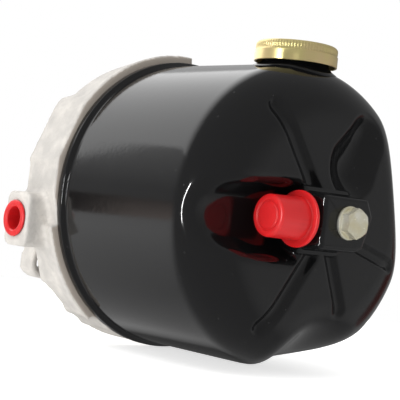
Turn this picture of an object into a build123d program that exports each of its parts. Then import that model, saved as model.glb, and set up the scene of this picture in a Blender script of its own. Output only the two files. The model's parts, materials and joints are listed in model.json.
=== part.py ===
"""Power-steering gear pump with its integral deep-drawn oil reservoir.

The shaft axis is Y.  The engine-side mounting face lies at y = 0, the drive shaft leaves
towards +Y and the reservoir can hangs off the casting towards -Y.  +Z points up, along the
filler cap.  All sizes are in millimetres.
"""

import os
from math import atan2, cos, degrees, pi, radians, sin, sqrt

from build123d import *

# ---------------------------------------------------------------- driving dimensions
RIM_Y = -42.0                 # joint plane between the casting and the can
CAN_R = 75.0                  # outside radius of the can
CAN_LENGTH = 114.0            # rim to the flat of the closed end
CAN_WALL = 2.0
KNUCKLE_R = 27.0              # turned edge between the side wall and the closed end
SKIRT_R = 77.0                # widened band at the mouth of the can
SKIRT_LENGTH = 4.0
PAD_HEIGHT = 14.5             # bolt pad above the closed end

SPIGOT_R = 8.0                # return hose stub
SPIGOT_BORE_R = 6.0
FILLER_Y = RIM_Y - 81.5
NECK_R = 16.5
CAP_R = 20.7
CAP_BOTTOM_Z = 75.4
CAP_HEIGHT = 10.4

CASTING_BACK_Y = -16.0        # back of the round part of the casting
CASTING_R = 76.5
REGISTER_R = 72.8             # short spigot that centres the can
REGISTER_LENGTH = 8.0
EAR_PCD_R = 71.0
EAR_ANGLE = 33.0
FLANGE_WAIST_R = 54.0
EAR_R = 8.2
EAR_THICK = 12.0
MOUNT_HOLE_R = 4.25            # tapped for M10
PILOT_R = 41.275
PILOT_LENGTH = 6.4

GEAR_MODULE = 2.5
GEAR_TEETH = 12
GEAR_WIDTH = 17.8
CENTRE_DISTANCE = 30.0
SHAFT_R = 7.5
DRIVE_SHAFT_R = 10.0
DRIVE_END_R = 9.5
BLOCK_THICK = 16.0
HOUSING_LENGTH = 50.0
HOUSING_END_R = 31.0
COVER_THICK = 14.0
BOLT_CIRCLE_R = 25.0          # housing bolts, about each gear axis
SCREW_R = 2.9
SCREW_HOLE_R = 3.2
SCREW_HEAD_R = 5.0
SCREW_HEAD = 6.0
RUN = 0.05                    # radial clearance of a running fit

PORT_Y = -22.6
PORT_Z = -16.0
PORT_FACE_X = -88.0
PORT_R = 8.2
VALVE_BORE_R = 8.0
VALVE_END_X = -22.0
SPOOL_START_X = -56.0
SPOOL_LENGTH = 20.0

# ---------------------------------------------------------------- derived stations
END_Y = RIM_Y - CAN_LENGTH
PAD_Y = END_Y - PAD_HEIGHT
REGISTER_Y = RIM_Y - REGISTER_LENGTH
GEAR_MID_Y = REGISTER_Y - BLOCK_THICK - 9.0
HOUSING_Y = REGISTER_Y - HOUSING_LENGTH
COVER_Y = HOUSING_Y - COVER_THICK
PILLAR_END_Y = PAD_Y + CAN_WALL
SPIGOT_Y = END_Y - 1.5
SPIGOT_Z = -0.6

os.makedirs("parts", exist_ok=True)


def across(y):
    """Plane square to the shaft axis at station y; local x is X, local y is Z."""
    return Plane(origin=(0, y, 0), x_dir=(1, 0, 0), z_dir=(0, -1, 0))


def upright(x, y, z=0.0):
    """Plane square to Z."""
    return Plane(origin=(x, y, z), x_dir=(1, 0, 0), z_dir=(0, 0, 1))


def save(part, name):
    """Label a finished piece and write it as one STEP file."""
    part.label = name
    export_step(part, f"parts/{name}.step")


def spun(points):
    """Solid of revolution about Y from (radius, y) points."""
    with BuildPart() as turned:
        with BuildSketch(Plane.XY):
            with BuildLine():
                Polyline(*points, close=True)
            make_face()
        revolve(axis=Axis.Y)
    return turned.part


def polar(radius, angle):
    """X and Z of a point on a circle about the shaft axis."""
    return radius * cos(radians(angle)), radius * sin(radians(angle))


def annulus(outer, inner, y_from, y_to, x=0.0, z=0.0):
    """Ring about an axis parallel to Y."""
    with BuildPart() as ring:
        with BuildSketch(Plane(origin=(x, y_from, z), x_dir=(1, 0, 0), z_dir=(0, -1, 0))):
            Circle(outer)
            if inner:
                Circle(inner, mode=Mode.SUBTRACT)
        extrude(amount=y_from - y_to)
    return ring.part


def coil(length, radius, wire, turns, plane):
    """Helical compression spring with its axis along the plane's normal."""
    with BuildPart() as spring:
        with BuildLine(plane.offset(wire)):
            rise = length - 2 * wire
            path = Helix(pitch=rise / turns, height=rise, radius=radius, direction=plane.z_dir)
        with BuildSketch(Plane(origin=path @ 0, z_dir=path % 0)):
            Circle(wire)
        sweep(path=path)
    return spring.part


# ---------------------------------------------------------------- the pressed can
PAD_OUTLINE = [(-17, -14), (-17, 12.5), (13, 12.5), (17.5, 4), (12.5, -12), (8, -14)]
RIB_LINES = [((-5, 17), (-34, 53)), ((-8, -20), (-31, -52)), ((6, -17), (17, -42)), ((22, -12), (50, -19))]
RIB_WIDTH = 6.0
RIB_DEPTH = 2.4
TROUGH_R = 15.5
TROUGH_Z = -2.0
DISH_R = 17.5
DISH_RISE = 10.5
DISH_LINE = ((17, 24), (26, 44))
NOTCH_R = 90.0
NOTCH_ANGLE = -72.0
NOTCH_DEPTH = 14.5
NOTCH_TILT = 13.0


def can_form(inset):
    """The can's outside (inset 0) or its oil space (inset = wall), closed at the mouth."""
    outer = CAN_R - inset
    end = END_Y + inset
    knuckle = KNUCKLE_R - inset
    notch_centre = CAN_R - NOTCH_DEPTH + NOTCH_R
    with BuildPart() as form:
        with BuildSketch(Plane.XY):
            with BuildLine():
                Line((0, RIM_Y), (outer, RIM_Y))
                Line((outer, RIM_Y), (outer, end + knuckle))
                RadiusArc((outer, end + knuckle), (outer - knuckle, end), knuckle)
                Line((outer - knuckle, end), (0, end))
                Line((0, end), (0, RIM_Y))
            make_face()
        revolve(axis=Axis.Y)
        # trough that clears the return hose
        with BuildSketch(Plane(origin=(-17, SPIGOT_Y, TROUGH_Z), x_dir=(0, -1, 0), z_dir=(-1, 0, 0))):
            Circle(TROUGH_R + inset)
        extrude(amount=CAN_R, mode=Mode.SUBTRACT)
        # pressed stiffening ribs
        for (x0, z0), (x1, z1) in RIB_LINES:
            run = sqrt((x1 - x0) ** 2 + (z1 - z0) ** 2)
            with BuildSketch(across(end + RIB_DEPTH)):
                with Locations(Location(((x0 + x1) / 2, (z0 + z1) / 2), degrees(atan2(z1 - z0, x1 - x0)))):
                    SlotCenterToCenter(run, RIB_WIDTH + 2 * inset)
            extrude(amount=RIB_DEPTH + 1, mode=Mode.SUBTRACT)
        # oval dish beside the pad
        (x0, z0), (x1, z1) = DISH_LINE
        centre_y = END_Y - DISH_RISE
        axis_plane = Plane(origin=(x0, centre_y, z0), z_dir=(x1 - x0, 0, z1 - z0))
        with BuildSketch(axis_plane):
            Circle(DISH_R + inset)
        extrude(amount=sqrt((x1 - x0) ** 2 + (z1 - z0) ** 2), mode=Mode.SUBTRACT)
        with Locations((x0, centre_y, z0), (x1, centre_y, z1)):
            Sphere(DISH_R + inset, mode=Mode.SUBTRACT)
        # scallop in the lower side wall, deepest at the closed end
        notch_x, notch_z = polar(notch_centre, NOTCH_ANGLE)
        lean_x, lean_z = polar(sin(radians(NOTCH_TILT)), NOTCH_ANGLE)
        notch_plane = Plane(
            origin=(notch_x, END_Y, notch_z), z_dir=(lean_x, cos(radians(NOTCH_TILT)), lean_z)
        )
        with BuildSketch(notch_plane.offset(-40)):
            Circle(NOTCH_R + inset)
        extrude(amount=CAN_LENGTH, mode=Mode.SUBTRACT)
        # raised pad under the centre bolt
        with BuildSketch(across(end + 12)):
            Polygon(*PAD_OUTLINE, align=None)
            if inset:
                offset(amount=-inset, kind=Kind.INTERSECTION, mode=Mode.REPLACE)
        extrude(amount=PAD_HEIGHT + 12)
        top = form.faces().sort_by(Axis.Y)[0]
        fillet(top.edges(), 2.0 if not inset else 0.6)
    return form.part


oil_space = can_form(CAN_WALL)
with BuildPart() as reservoir_can:
    add(can_form(0.0))
    with BuildSketch(across(RIM_Y)):
        Circle(SKIRT_R)
    extrude(amount=SKIRT_LENGTH)
    add(oil_space, mode=Mode.SUBTRACT)
    with BuildSketch(across(RIM_Y)):
        Circle(CAN_R)
    extrude(amount=SKIRT_LENGTH - CAN_WALL, mode=Mode.SUBTRACT)
    # holes for the bolt, the return stub and the filler neck
    with BuildSketch(across(PAD_Y)):
        Circle(4.3)
    extrude(amount=-5, mode=Mode.SUBTRACT)
    with BuildSketch(Plane(origin=(-10, SPIGOT_Y, SPIGOT_Z), z_dir=(-1, 0, 0))):
        Circle(SPIGOT_R)
    extrude(amount=12, mode=Mode.SUBTRACT)
    with BuildSketch(upright(0, FILLER_Y, 60)):
        Circle(NECK_R)
    extrude(amount=20, mode=Mode.SUBTRACT)
save(reservoir_can.part, "reservoir_can")

# ---------------------------------------------------------------- return stub and filler neck
with BuildPart() as return_spigot:
    with BuildSketch(Plane(origin=(-13, SPIGOT_Y, SPIGOT_Z), z_dir=(-1, 0, 0))):
        Circle(SPIGOT_R)
        Circle(SPIGOT_BORE_R, mode=Mode.SUBTRACT)
    extrude(amount=24)
save(return_spigot.part, "return_spigot")

CAP_TUBE_R = 10.0
CAP_FLANGE_R = 13.5
with BuildPart() as return_cap:
    with BuildSketch(Plane(origin=(-19.8, SPIGOT_Y, SPIGOT_Z), z_dir=(-1, 0, 0))):
        Circle(CAP_FLANGE_R)
    extrude(amount=1.8)
    with BuildSketch(Plane(origin=(-19.8, SPIGOT_Y, SPIGOT_Z), z_dir=(-1, 0, 0))):
        Circle(CAP_TUBE_R)
    extrude(amount=20.6)
    fillet(return_cap.faces().sort_by(Axis.X)[0].edges(), 1.2)
    with BuildSketch(Plane(origin=(-19.8, SPIGOT_Y, SPIGOT_Z), z_dir=(-1, 0, 0))):
        Circle(SPIGOT_R + RUN)
    extrude(amount=18.4, mode=Mode.SUBTRACT)
save(return_cap.part, "return_cap")

NECK_TOP_Z = 80.0
with BuildPart() as filler_neck:
    with BuildSketch(Plane(origin=(0, FILLER_Y, 0), x_dir=(1, 0, 0), z_dir=(0, -1, 0))):
        with BuildLine():
            Polyline(
                (NECK_R, 68.0),
                (NECK_R, NECK_TOP_Z - 2.0),
                (NECK_R + 1.5, NECK_TOP_Z - 1.5),
                (NECK_R + 1.5, NECK_TOP_Z),
                (NECK_R - 2.0, NECK_TOP_Z),
                (NECK_R - 2.0, 68.0),
                close=True,
            )
        make_face()
    revolve(axis=Axis((0, FILLER_Y, 0), (0, 0, 1)))
save(filler_neck.part, "filler_neck")

# ---------------------------------------------------------------- filler cap
GASKET_THICK = 2.0
SEAT_GAP = 0.05
DISC_Z = NECK_TOP_Z + GASKET_THICK
with BuildPart() as filler_cap_shell:
    with BuildSketch(upright(0, FILLER_Y, CAP_BOTTOM_Z)):
        Circle(CAP_R)
    extrude(amount=CAP_HEIGHT)
    fillet(filler_cap_shell.faces().sort_by(Axis.Z)[-1].edges(), 2.5)
    with BuildSketch(upright(0, FILLER_Y, CAP_BOTTOM_Z)):
        Circle(CAP_R - 1.2)
    extrude(amount=CAP_HEIGHT - 1.2, mode=Mode.SUBTRACT)
    with BuildSketch(upright(0, FILLER_Y, CAP_BOTTOM_Z)):
        Circle(2.6)
    extrude(amount=CAP_HEIGHT + 1, mode=Mode.SUBTRACT)
save(filler_cap_shell.part, "filler_cap_shell")

with BuildPart() as filler_cap_gasket:
    with BuildSketch(upright(0, FILLER_Y, NECK_TOP_Z + SEAT_GAP)):
        Circle(NECK_R + 1.8)
        Circle(NECK_R - 3.0, mode=Mode.SUBTRACT)
    extrude(amount=GASKET_THICK - SEAT_GAP)
save(filler_cap_gasket.part, "filler_cap_gasket")

with BuildPart() as filler_cap_disc:
    with BuildSketch(upright(0, FILLER_Y, DISC_Z)):
        Circle(NECK_R + 2.2)
        Circle(2.2, mode=Mode.SUBTRACT)
    extrude(amount=1.0)
save(filler_cap_disc.part, "filler_cap_disc")

SPRING_Z = DISC_Z + 1.0
SHELL_ROOF_Z = CAP_BOTTOM_Z + CAP_HEIGHT - 1.2
with BuildPart() as filler_cap_spring:
    with BuildSketch(Plane(origin=(0, FILLER_Y, 0), x_dir=(1, 0, 0), z_dir=(0, -1, 0))):
        with BuildLine():
            Polyline(
                (14.0, SPRING_Z),
                (6.0, SHELL_ROOF_Z - 0.9),
                (6.0, SHELL_ROOF_Z - 0.3),
                (14.6, SPRING_Z + 0.5),
                (14.6, SPRING_Z),
                close=True,
            )
        make_face()
    revolve(axis=Axis((0, FILLER_Y, 0), (0, 0, 1)))
save(filler_cap_spring.part, "filler_cap_spring")

RIVET_TOP_Z = CAP_BOTTOM_Z + CAP_HEIGHT
with BuildPart() as filler_cap_rivet:
    with BuildSketch(upright(0, FILLER_Y, DISC_Z - 3.2)):
        Circle(2.2)
    extrude(amount=RIVET_TOP_Z + 0.3 - DISC_Z + 3.2)
    with BuildSketch(upright(0, FILLER_Y, RIVET_TOP_Z + 0.3)):
        Circle(4.2)
    extrude(amount=0.9)
    fillet(filler_cap_rivet.faces().sort_by(Axis.Z)[-1].edges(), 0.6)
    with BuildSketch(upright(0, FILLER_Y, DISC_Z - 3.2)):
        Circle(4.0)
    extrude(amount=1.0)
save(filler_cap_rivet.part, "filler_cap_rivet")

DIPSTICK_BOTTOM_Z = 40.0
with BuildPart() as dipstick:
    with BuildSketch(upright(0, FILLER_Y, DISC_Z - 2.2)):
        Circle(6.0)
        Circle(2.25, mode=Mode.SUBTRACT)
    extrude(amount=1.2)
    with BuildSketch(upright(0, FILLER_Y, DISC_Z - 2.2)):
        with Locations((0, 5.0)):
            Rectangle(6.0, 1.2)
    extrude(amount=DIPSTICK_BOTTOM_Z - DISC_Z + 2.2)
    fillet(dipstick.faces().sort_by(Axis.Z)[0].edges().filter_by(Axis.Y), 2.4)
save(dipstick.part, "dipstick")

# ---------------------------------------------------------------- centre bolt
WASHER_R = 8.0
WASHER_THICK = 1.5
HEAD_THICK = 5.3
BOLT_HEAD_AF = 13.0
save(annulus(WASHER_R, 4.2, PAD_Y, PAD_Y - WASHER_THICK), "bolt_washer")

HEAD_Y = PAD_Y - WASHER_THICK
with BuildPart() as reservoir_bolt:
    with BuildSketch(across(HEAD_Y)):
        RegularPolygon(BOLT_HEAD_AF / 2, 6, major_radius=False, rotation=30)
    extrude(amount=HEAD_THICK)
    with BuildSketch(Plane.XY):
        with BuildLine():
            Polyline(
                (0, HEAD_Y + 1),
                (0, HEAD_Y - HEAD_THICK),
                (5.9, HEAD_Y - HEAD_THICK),
                (8.2, HEAD_Y - HEAD_THICK + 1.3),
                (8.2, HEAD_Y + 1),
                close=True,
            )
        make_face()
    revolve(axis=Axis.Y, mode=Mode.INTERSECT)
    with BuildSketch(across(HEAD_Y)):
        Circle(3.95)
    extrude(amount=-32)
save(reservoir_bolt.part, "reservoir_bolt")

with BuildPart() as centre_pillar:
    with BuildSketch(across(COVER_Y + 8)):
        Circle(5.0)
    extrude(amount=9)
    with BuildSketch(across(COVER_Y)):
        Circle(7.0)
    extrude(amount=COVER_Y - PILLAR_END_Y)
    with BuildSketch(across(PILLAR_END_Y)):
        Circle(4.0)
    extrude(amount=-32, mode=Mode.SUBTRACT)
    with BuildSketch(across(PILLAR_END_Y)):
        Circle(6.2)
    extrude(amount=-1.2, mode=Mode.SUBTRACT)
save(centre_pillar.part, "centre_pillar")
save(annulus(6.2, 4.3, PILLAR_END_Y + 1.2, PILLAR_END_Y), "pillar_o_ring")

# ---------------------------------------------------------------- return filter
FILTER_FRONT_Y = COVER_Y - 5.0
FILTER_LENGTH = 17.5
FILTER_OUTER_R = 30.0
FILTER_INNER_R = 17.0
PLEATS = 28
filter_back_y = FILTER_FRONT_Y - 1.2 - FILTER_LENGTH


def pleat_points(outer, inner):
    """Star outline of the pleated paper."""
    step = 360.0 / (2 * PLEATS)
    return [polar(outer if i % 2 == 0 else inner, i * step) for i in range(2 * PLEATS)]


with BuildPart() as filter_element:
    with BuildSketch(across(FILTER_FRONT_Y - 1.2)):
        Polygon(*pleat_points(FILTER_OUTER_R, FILTER_INNER_R + 3.0), align=None)
        Polygon(*pleat_points(FILTER_OUTER_R - 2.2, FILTER_INNER_R), align=None, mode=Mode.SUBTRACT)
    extrude(amount=FILTER_LENGTH)
save(filter_element.part, "filter_element")
save(annulus(FILTER_OUTER_R + 0.8, 8.0, FILTER_FRONT_Y, FILTER_FRONT_Y - 1.2), "filter_inner_cap")
save(annulus(FILTER_OUTER_R + 0.8, 12.0, filter_back_y, filter_back_y - 1.2), "filter_outer_cap")
save(coil(COVER_Y - FILTER_FRONT_Y, 11.0, 0.7, 2.5, across(COVER_Y)), "filter_spring")

# ---------------------------------------------------------------- pump casting
# left-hand side of the casting: flat cast faces between these (radius, angle) corners
FACET_CORNERS = [(76.0, 136.0), (80.6, 142.0), (81.0, 146.0), (80.8, 168.0), (79.2, 181.0), (79.6, 216.0), (76.0, 228.0)]
CAST_BUMPS = [(234.0, 72.5, 5.6), (243.5, 72.0, 5.4), (96.0, 71.0, 7.0), (20.0, 71.0, 8.0), (-40.0, 71.5, 7.0)]
FLANGE_DRAFT = 10.0
GALLERY_X = -26.0
SEAL_POCKET_R = 17.5
BEARING_R = 23.5


def sector(radius, start, sweep_angle, inner=40.0):
    """Ring sector drawn on the current sketch."""
    with BuildLine() as outline:
        ThreePointArc(
            polar(radius, start), polar(radius, start + sweep_angle / 2), polar(radius, start + sweep_angle)
        )
        Line(polar(radius, start + sweep_angle), polar(inner, start + sweep_angle))
        ThreePointArc(
            polar(inner, start + sweep_angle), polar(inner, start + sweep_angle / 2), polar(inner, start)
        )
        Line(polar(inner, start), polar(radius, start))
    make_face(outline.edges())


with BuildPart() as pump_casting:
    with BuildSketch(across(CASTING_BACK_Y)):
        Circle(CASTING_R)
        Polygon(*[polar(r, angle) for r, angle in FACET_CORNERS], (0, 0), align=None)
        for angle, radius, bump_r in CAST_BUMPS:
            with Locations(polar(radius, angle)):
                Circle(bump_r)
    extrude(amount=CASTING_BACK_Y - RIM_Y)
    # machined joint flange, wider over the top left and the lower left
    with BuildSketch(across(CASTING_BACK_Y)):
        sector(CASTING_R, 92, 52)
    extrude(amount=CASTING_BACK_Y - RIM_Y, taper=-FLANGE_DRAFT)
    with BuildSketch(across(CASTING_BACK_Y)):
        sector(CASTING_R, 196, 34)
    extrude(amount=CASTING_BACK_Y - RIM_Y, taper=-FLANGE_DRAFT)
    # can register
    with BuildSketch(across(RIM_Y)):
        Circle(REGISTER_R)
    extrude(amount=REGISTER_LENGTH)
    # bowl cast into the register, leaving the pump seat standing
    with BuildSketch(across(REGISTER_Y)):
        Circle(66)
        with Locations((0, -CENTRE_DISTANCE / 2)):
            SlotOverall(CENTRE_DISTANCE + 2 * HOUSING_END_R, 2 * HOUSING_END_R, rotation=90, mode=Mode.SUBTRACT)
    extrude(amount=-14, mode=Mode.SUBTRACT)
    # neck and mounting flange
    with BuildSketch(across(-EAR_THICK)):
        Circle(56)
    extrude(amount=-CASTING_BACK_Y - EAR_THICK)
    with BuildSketch(across(0)):
        Circle(FLANGE_WAIST_R)
        with PolarLocations(EAR_PCD_R, 2, start_angle=EAR_ANGLE):
            Circle(EAR_R)
        make_hull()
    extrude(amount=EAR_THICK)
    with BuildSketch(across(PILOT_LENGTH)):
        Circle(PILOT_R)
    extrude(amount=PILOT_LENGTH)
    # outlet boss
    with BuildSketch(Plane(origin=(PORT_FACE_X, PORT_Y - 1.0, PORT_Z), x_dir=(0, -1, 0), z_dir=(-1, 0, 0))):
        RectangleRounded(21, 28, 4.5)
    extrude(amount=PORT_FACE_X + 60)
    # bores along the shaft
    with BuildSketch(across(REGISTER_Y)):
        Circle(DRIVE_SHAFT_R + 1.0)
    extrude(amount=REGISTER_Y - PILOT_LENGTH, mode=Mode.SUBTRACT)
    with BuildSketch(across(-24)):
        Circle(SEAL_POCKET_R)
    extrude(amount=-24 - PILOT_LENGTH, mode=Mode.SUBTRACT)
    with BuildSketch(across(-10)):
        Circle(BEARING_R)
    extrude(amount=-10 - PILOT_LENGTH, mode=Mode.SUBTRACT)
    # mounting holes
    with BuildSketch(across(0)):
        with PolarLocations(EAR_PCD_R, 2, start_angle=EAR_ANGLE):
            Circle(MOUNT_HOLE_R)
    extrude(amount=EAR_THICK, mode=Mode.SUBTRACT)
    # control valve bore, outlet port and the galleries between them and the pump
    with BuildSketch(Plane(origin=(VALVE_END_X, PORT_Y, PORT_Z), z_dir=(-1, 0, 0))):
        Circle(VALVE_BORE_R)
    extrude(amount=VALVE_END_X - PORT_FACE_X, mode=Mode.SUBTRACT)
    with BuildSketch(Plane(origin=(PORT_FACE_X + 16, PORT_Y, PORT_Z), z_dir=(-1, 0, 0))):
        Circle(PORT_R)
    extrude(amount=16, mode=Mode.SUBTRACT)
    with BuildSketch(Plane(origin=(GALLERY_X, REGISTER_Y, -15), z_dir=(-36, 24, -1))):
        Circle(2.5)
    extrude(amount=42, mode=Mode.SUBTRACT)
    with BuildSketch(across(REGISTER_Y)):
        with Locations((-48, PORT_Z)):
            Circle(4.0)
    extrude(amount=-22, mode=Mode.SUBTRACT)
    # tapped holes for the housing bolts
    with BuildSketch(across(REGISTER_Y)):
        for axis_z, turn in ((0, 45), (-CENTRE_DISTANCE, 225)):
            with Locations((0, axis_z)):
                with PolarLocations(BOLT_CIRCLE_R, 2, start_angle=turn, angular_range=90, endpoint=True):
                    Circle(SCREW_R)
    extrude(amount=-16, mode=Mode.SUBTRACT)
save(pump_casting.part, "pump_casting")

O_RING_R = 0.95
with BuildPart() as can_o_ring:
    with BuildSketch(Plane.XY):
        with Locations(((REGISTER_R + CAN_R) / 2, RIM_Y - 1.0)):
            Circle(O_RING_R)
    revolve(axis=Axis.Y)
save(can_o_ring.part, "can_o_ring")

# ---------------------------------------------------------------- outlet plug and control valve
with BuildPart() as outlet_plug:
    with BuildSketch(Plane(origin=(PORT_FACE_X + 12, PORT_Y, PORT_Z), z_dir=(-1, 0, 0))):
        Circle(PORT_R - 0.1)
    extrude(amount=12.5)
    with BuildSketch(Plane(origin=(PORT_FACE_X - SEAT_GAP, PORT_Y, PORT_Z), z_dir=(-1, 0, 0))):
        Circle(9.3)
    extrude(amount=1.2)
    with BuildSketch(Plane(origin=(PORT_FACE_X + 10.5, PORT_Y, PORT_Z), z_dir=(-1, 0, 0))):
        Circle(6.0)
    extrude(amount=12, mode=Mode.SUBTRACT)
save(outlet_plug.part, "outlet_plug")


def valve_plane(x):
    """Plane square to the control valve bore, facing the outlet."""
    return Plane(origin=(x, PORT_Y, PORT_Z), x_dir=(0, -1, 0), z_dir=(-1, 0, 0))


SPOOL_END_X = SPOOL_START_X + SPOOL_LENGTH
RELIEF_BORE_R = 4.0
SEAT_LENGTH = 5.0
SEAT_HOLE_R = 1.4
with BuildPart() as flow_spool:
    with BuildSketch(valve_plane(SPOOL_END_X)):
        Circle(VALVE_BORE_R - RUN)
    extrude(amount=SPOOL_LENGTH)
    with BuildSketch(valve_plane(SPOOL_END_X)):
        Circle(RELIEF_BORE_R)
    extrude(amount=16, mode=Mode.SUBTRACT)
    for groove_x in (-40.0, -44.0, -48.0):
        with BuildSketch(valve_plane(groove_x)):
            Circle(VALVE_BORE_R)
            Circle(VALVE_BORE_R - 0.8, mode=Mode.SUBTRACT)
        extrude(amount=1.0, mode=Mode.SUBTRACT)
    with BuildSketch(upright(-50.5, PORT_Y, PORT_Z - 9)):
        Circle(1.0)
    extrude(amount=18, mode=Mode.SUBTRACT)
save(flow_spool.part, "flow_spool")

with BuildPart() as relief_seat:
    with BuildSketch(valve_plane(SPOOL_END_X)):
        Circle(RELIEF_BORE_R)
        Circle(SEAT_HOLE_R, mode=Mode.SUBTRACT)
    extrude(amount=SEAT_LENGTH)
save(relief_seat.part, "relief_seat")

BALL_R = 2.5
BALL_X = SPOOL_END_X - SEAT_LENGTH - sqrt(BALL_R**2 - SEAT_HOLE_R**2) - 0.03
with BuildPart() as relief_ball:
    with Locations((BALL_X, PORT_Y, PORT_Z)):
        Sphere(BALL_R)
save(relief_ball.part, "relief_ball")
save(coil(6.2, 2.2, 0.45, 4, valve_plane(BALL_X - BALL_R)), "relief_spring")
save(coil(VALVE_END_X - SPOOL_END_X - 0.2, 5.6, 0.7, 4, valve_plane(VALVE_END_X - 0.1)), "flow_spring")

with BuildPart() as spool_stop_ring:
    with BuildSketch(valve_plane(SPOOL_START_X - 0.2)):
        Circle(VALVE_BORE_R)
        Circle(VALVE_BORE_R - 1.6, mode=Mode.SUBTRACT)
        with Locations((0, 7)):
            Rectangle(5, 6, mode=Mode.SUBTRACT)
    extrude(amount=1.2)
save(spool_stop_ring.part, "spool_stop_ring")

# ---------------------------------------------------------------- gear housing and rear cover
BORE_R = GEAR_MODULE * GEAR_TEETH / 2 + 2.3


def slot_outline(end_radius, mode=Mode.ADD):
    """Race-track outline round both gear axes."""
    with Locations((0, -CENTRE_DISTANCE / 2)):
        SlotOverall(CENTRE_DISTANCE + 2 * end_radius, 2 * end_radius, rotation=90, mode=mode)


def bolt_pattern(radius, mode=Mode.SUBTRACT):
    """Four bolt positions, two about each gear axis."""
    for axis_z, turn in ((0, 45), (-CENTRE_DISTANCE, 225)):
        with Locations((0, axis_z)):
            with PolarLocations(BOLT_CIRCLE_R, 2, start_angle=turn, angular_range=90, endpoint=True):
                Circle(radius, mode=mode)


def gear_bores(radius, mode=Mode.ADD):
    """Two overlapping circles, one on each gear axis."""
    with Locations((0, 0), (0, -CENTRE_DISTANCE)):
        Circle(radius, mode=mode)


DOWEL_SPOTS = [(25.5, -15.0), (-25.5, -22.0)]
with BuildPart() as gear_housing:
    with BuildSketch(across(REGISTER_Y)):
        slot_outline(HOUSING_END_R)
        gear_bores(BORE_R, Mode.SUBTRACT)
        bolt_pattern(SCREW_HOLE_R)
        with Locations(*DOWEL_SPOTS):
            Circle(2.5, mode=Mode.SUBTRACT)
    extrude(amount=HOUSING_LENGTH)
    for seal_y, depth in ((REGISTER_Y, 1.4), (HOUSING_Y, -1.4)):
        with BuildSketch(across(seal_y)):
            slot_outline(20.2)
            slot_outline(18.4, Mode.SUBTRACT)
        extrude(amount=depth, mode=Mode.SUBTRACT)
    # suction window on the right, pressure gallery on the left
    with BuildSketch(Plane(origin=(8, GEAR_MID_Y, -CENTRE_DISTANCE / 2), z_dir=(1, 0, 0))):
        Circle(6.0)
    extrude(amount=30, mode=Mode.SUBTRACT)
    with BuildSketch(Plane(origin=(-8, GEAR_MID_Y, -CENTRE_DISTANCE / 2), z_dir=(-1, 0, 0))):
        Circle(2.5)
    extrude(amount=18, mode=Mode.SUBTRACT)
    with BuildSketch(across(REGISTER_Y)):
        with Locations((GALLERY_X, -15)):
            Circle(2.2)
    extrude(amount=REGISTER_Y - GEAR_MID_Y, mode=Mode.SUBTRACT)
save(gear_housing.part, "gear_housing")

for seal_name, seal_y in (("housing_seal_front", REGISTER_Y - 0.05), ("housing_seal_rear", HOUSING_Y + 1.35)):
    with BuildPart() as housing_seal:
        with BuildSketch(across(seal_y)):
            slot_outline(20.1)
            slot_outline(18.5, Mode.SUBTRACT)
        extrude(amount=1.3)
    save(housing_seal.part, seal_name)

with BuildPart() as rear_cover:
    with BuildSketch(across(HOUSING_Y)):
        slot_outline(HOUSING_END_R)
        bolt_pattern(SCREW_HOLE_R)
        with Locations(*DOWEL_SPOTS):
            Circle(2.5, mode=Mode.SUBTRACT)
    extrude(amount=COVER_THICK)
    fillet(rear_cover.faces().sort_by(Axis.Y)[0].outer_wire().edges(), 2.0)
    with BuildSketch(across(COVER_Y)):
        Circle(5.0)
    extrude(amount=-8, mode=Mode.SUBTRACT)
    with BuildSketch(across(COVER_Y)):
        bolt_pattern(SCREW_HEAD_R + 0.4, Mode.ADD)
    extrude(amount=-SCREW_HEAD, mode=Mode.SUBTRACT)
save(rear_cover.part, "rear_cover")

with BuildPart() as housing_dowels:
    with BuildSketch(across(REGISTER_Y)):
        with Locations(*DOWEL_SPOTS):
            Circle(2.45)
    extrude(amount=HOUSING_LENGTH + COVER_THICK - 2)
save(housing_dowels.part, "housing_dowels")

with BuildPart() as housing_bolts:
    with BuildSketch(across(REGISTER_Y + 14)):
        bolt_pattern(SCREW_R, Mode.ADD)
    extrude(amount=14 + HOUSING_LENGTH + COVER_THICK)
    with BuildSketch(across(COVER_Y + SCREW_HEAD)):
        bolt_pattern(SCREW_HEAD_R, Mode.ADD)
    extrude(amount=SCREW_HEAD)
    with BuildSketch(across(COVER_Y)):
        for axis_z, turn in ((0, 45), (-CENTRE_DISTANCE, 225)):
            with Locations((0, axis_z)):
                with PolarLocations(BOLT_CIRCLE_R, 2, start_angle=turn, angular_range=90, endpoint=True):
                    RegularPolygon(2.5, 6, major_radius=False)
    extrude(amount=-3.5, mode=Mode.SUBTRACT)
save(housing_bolts.part, "housing_bolts")

# ---------------------------------------------------------------- bearing blocks and bushes
BUSH_R = 9.0
front_block_y = REGISTER_Y
rear_block_y = HOUSING_Y + BLOCK_THICK
for block_name, block_y in (("bearing_block_front", front_block_y), ("bearing_block_rear", rear_block_y)):
    with BuildPart() as block:
        with BuildSketch(across(block_y)):
            gear_bores(BORE_R - 0.05)
            gear_bores(BUSH_R, Mode.SUBTRACT)
        extrude(amount=BLOCK_THICK)
    save(block.part, block_name)

with BuildPart() as shaft_bushes:
    for bush_y in (front_block_y, rear_block_y):
        with BuildSketch(across(bush_y)):
            gear_bores(BUSH_R)
            gear_bores(SHAFT_R + RUN, Mode.SUBTRACT)
        extrude(amount=BLOCK_THICK)
save(shaft_bushes.part, "shaft_bushes")

# ---------------------------------------------------------------- gears and shafts
PITCH_R = GEAR_MODULE * GEAR_TEETH / 2
TIP_R = PITCH_R + 2.2
ROOT_R = PITCH_R - 2.8
BASE_R = PITCH_R * cos(radians(20))
BACKLASH = 0.35
FLANK_STEPS = 5


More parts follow.
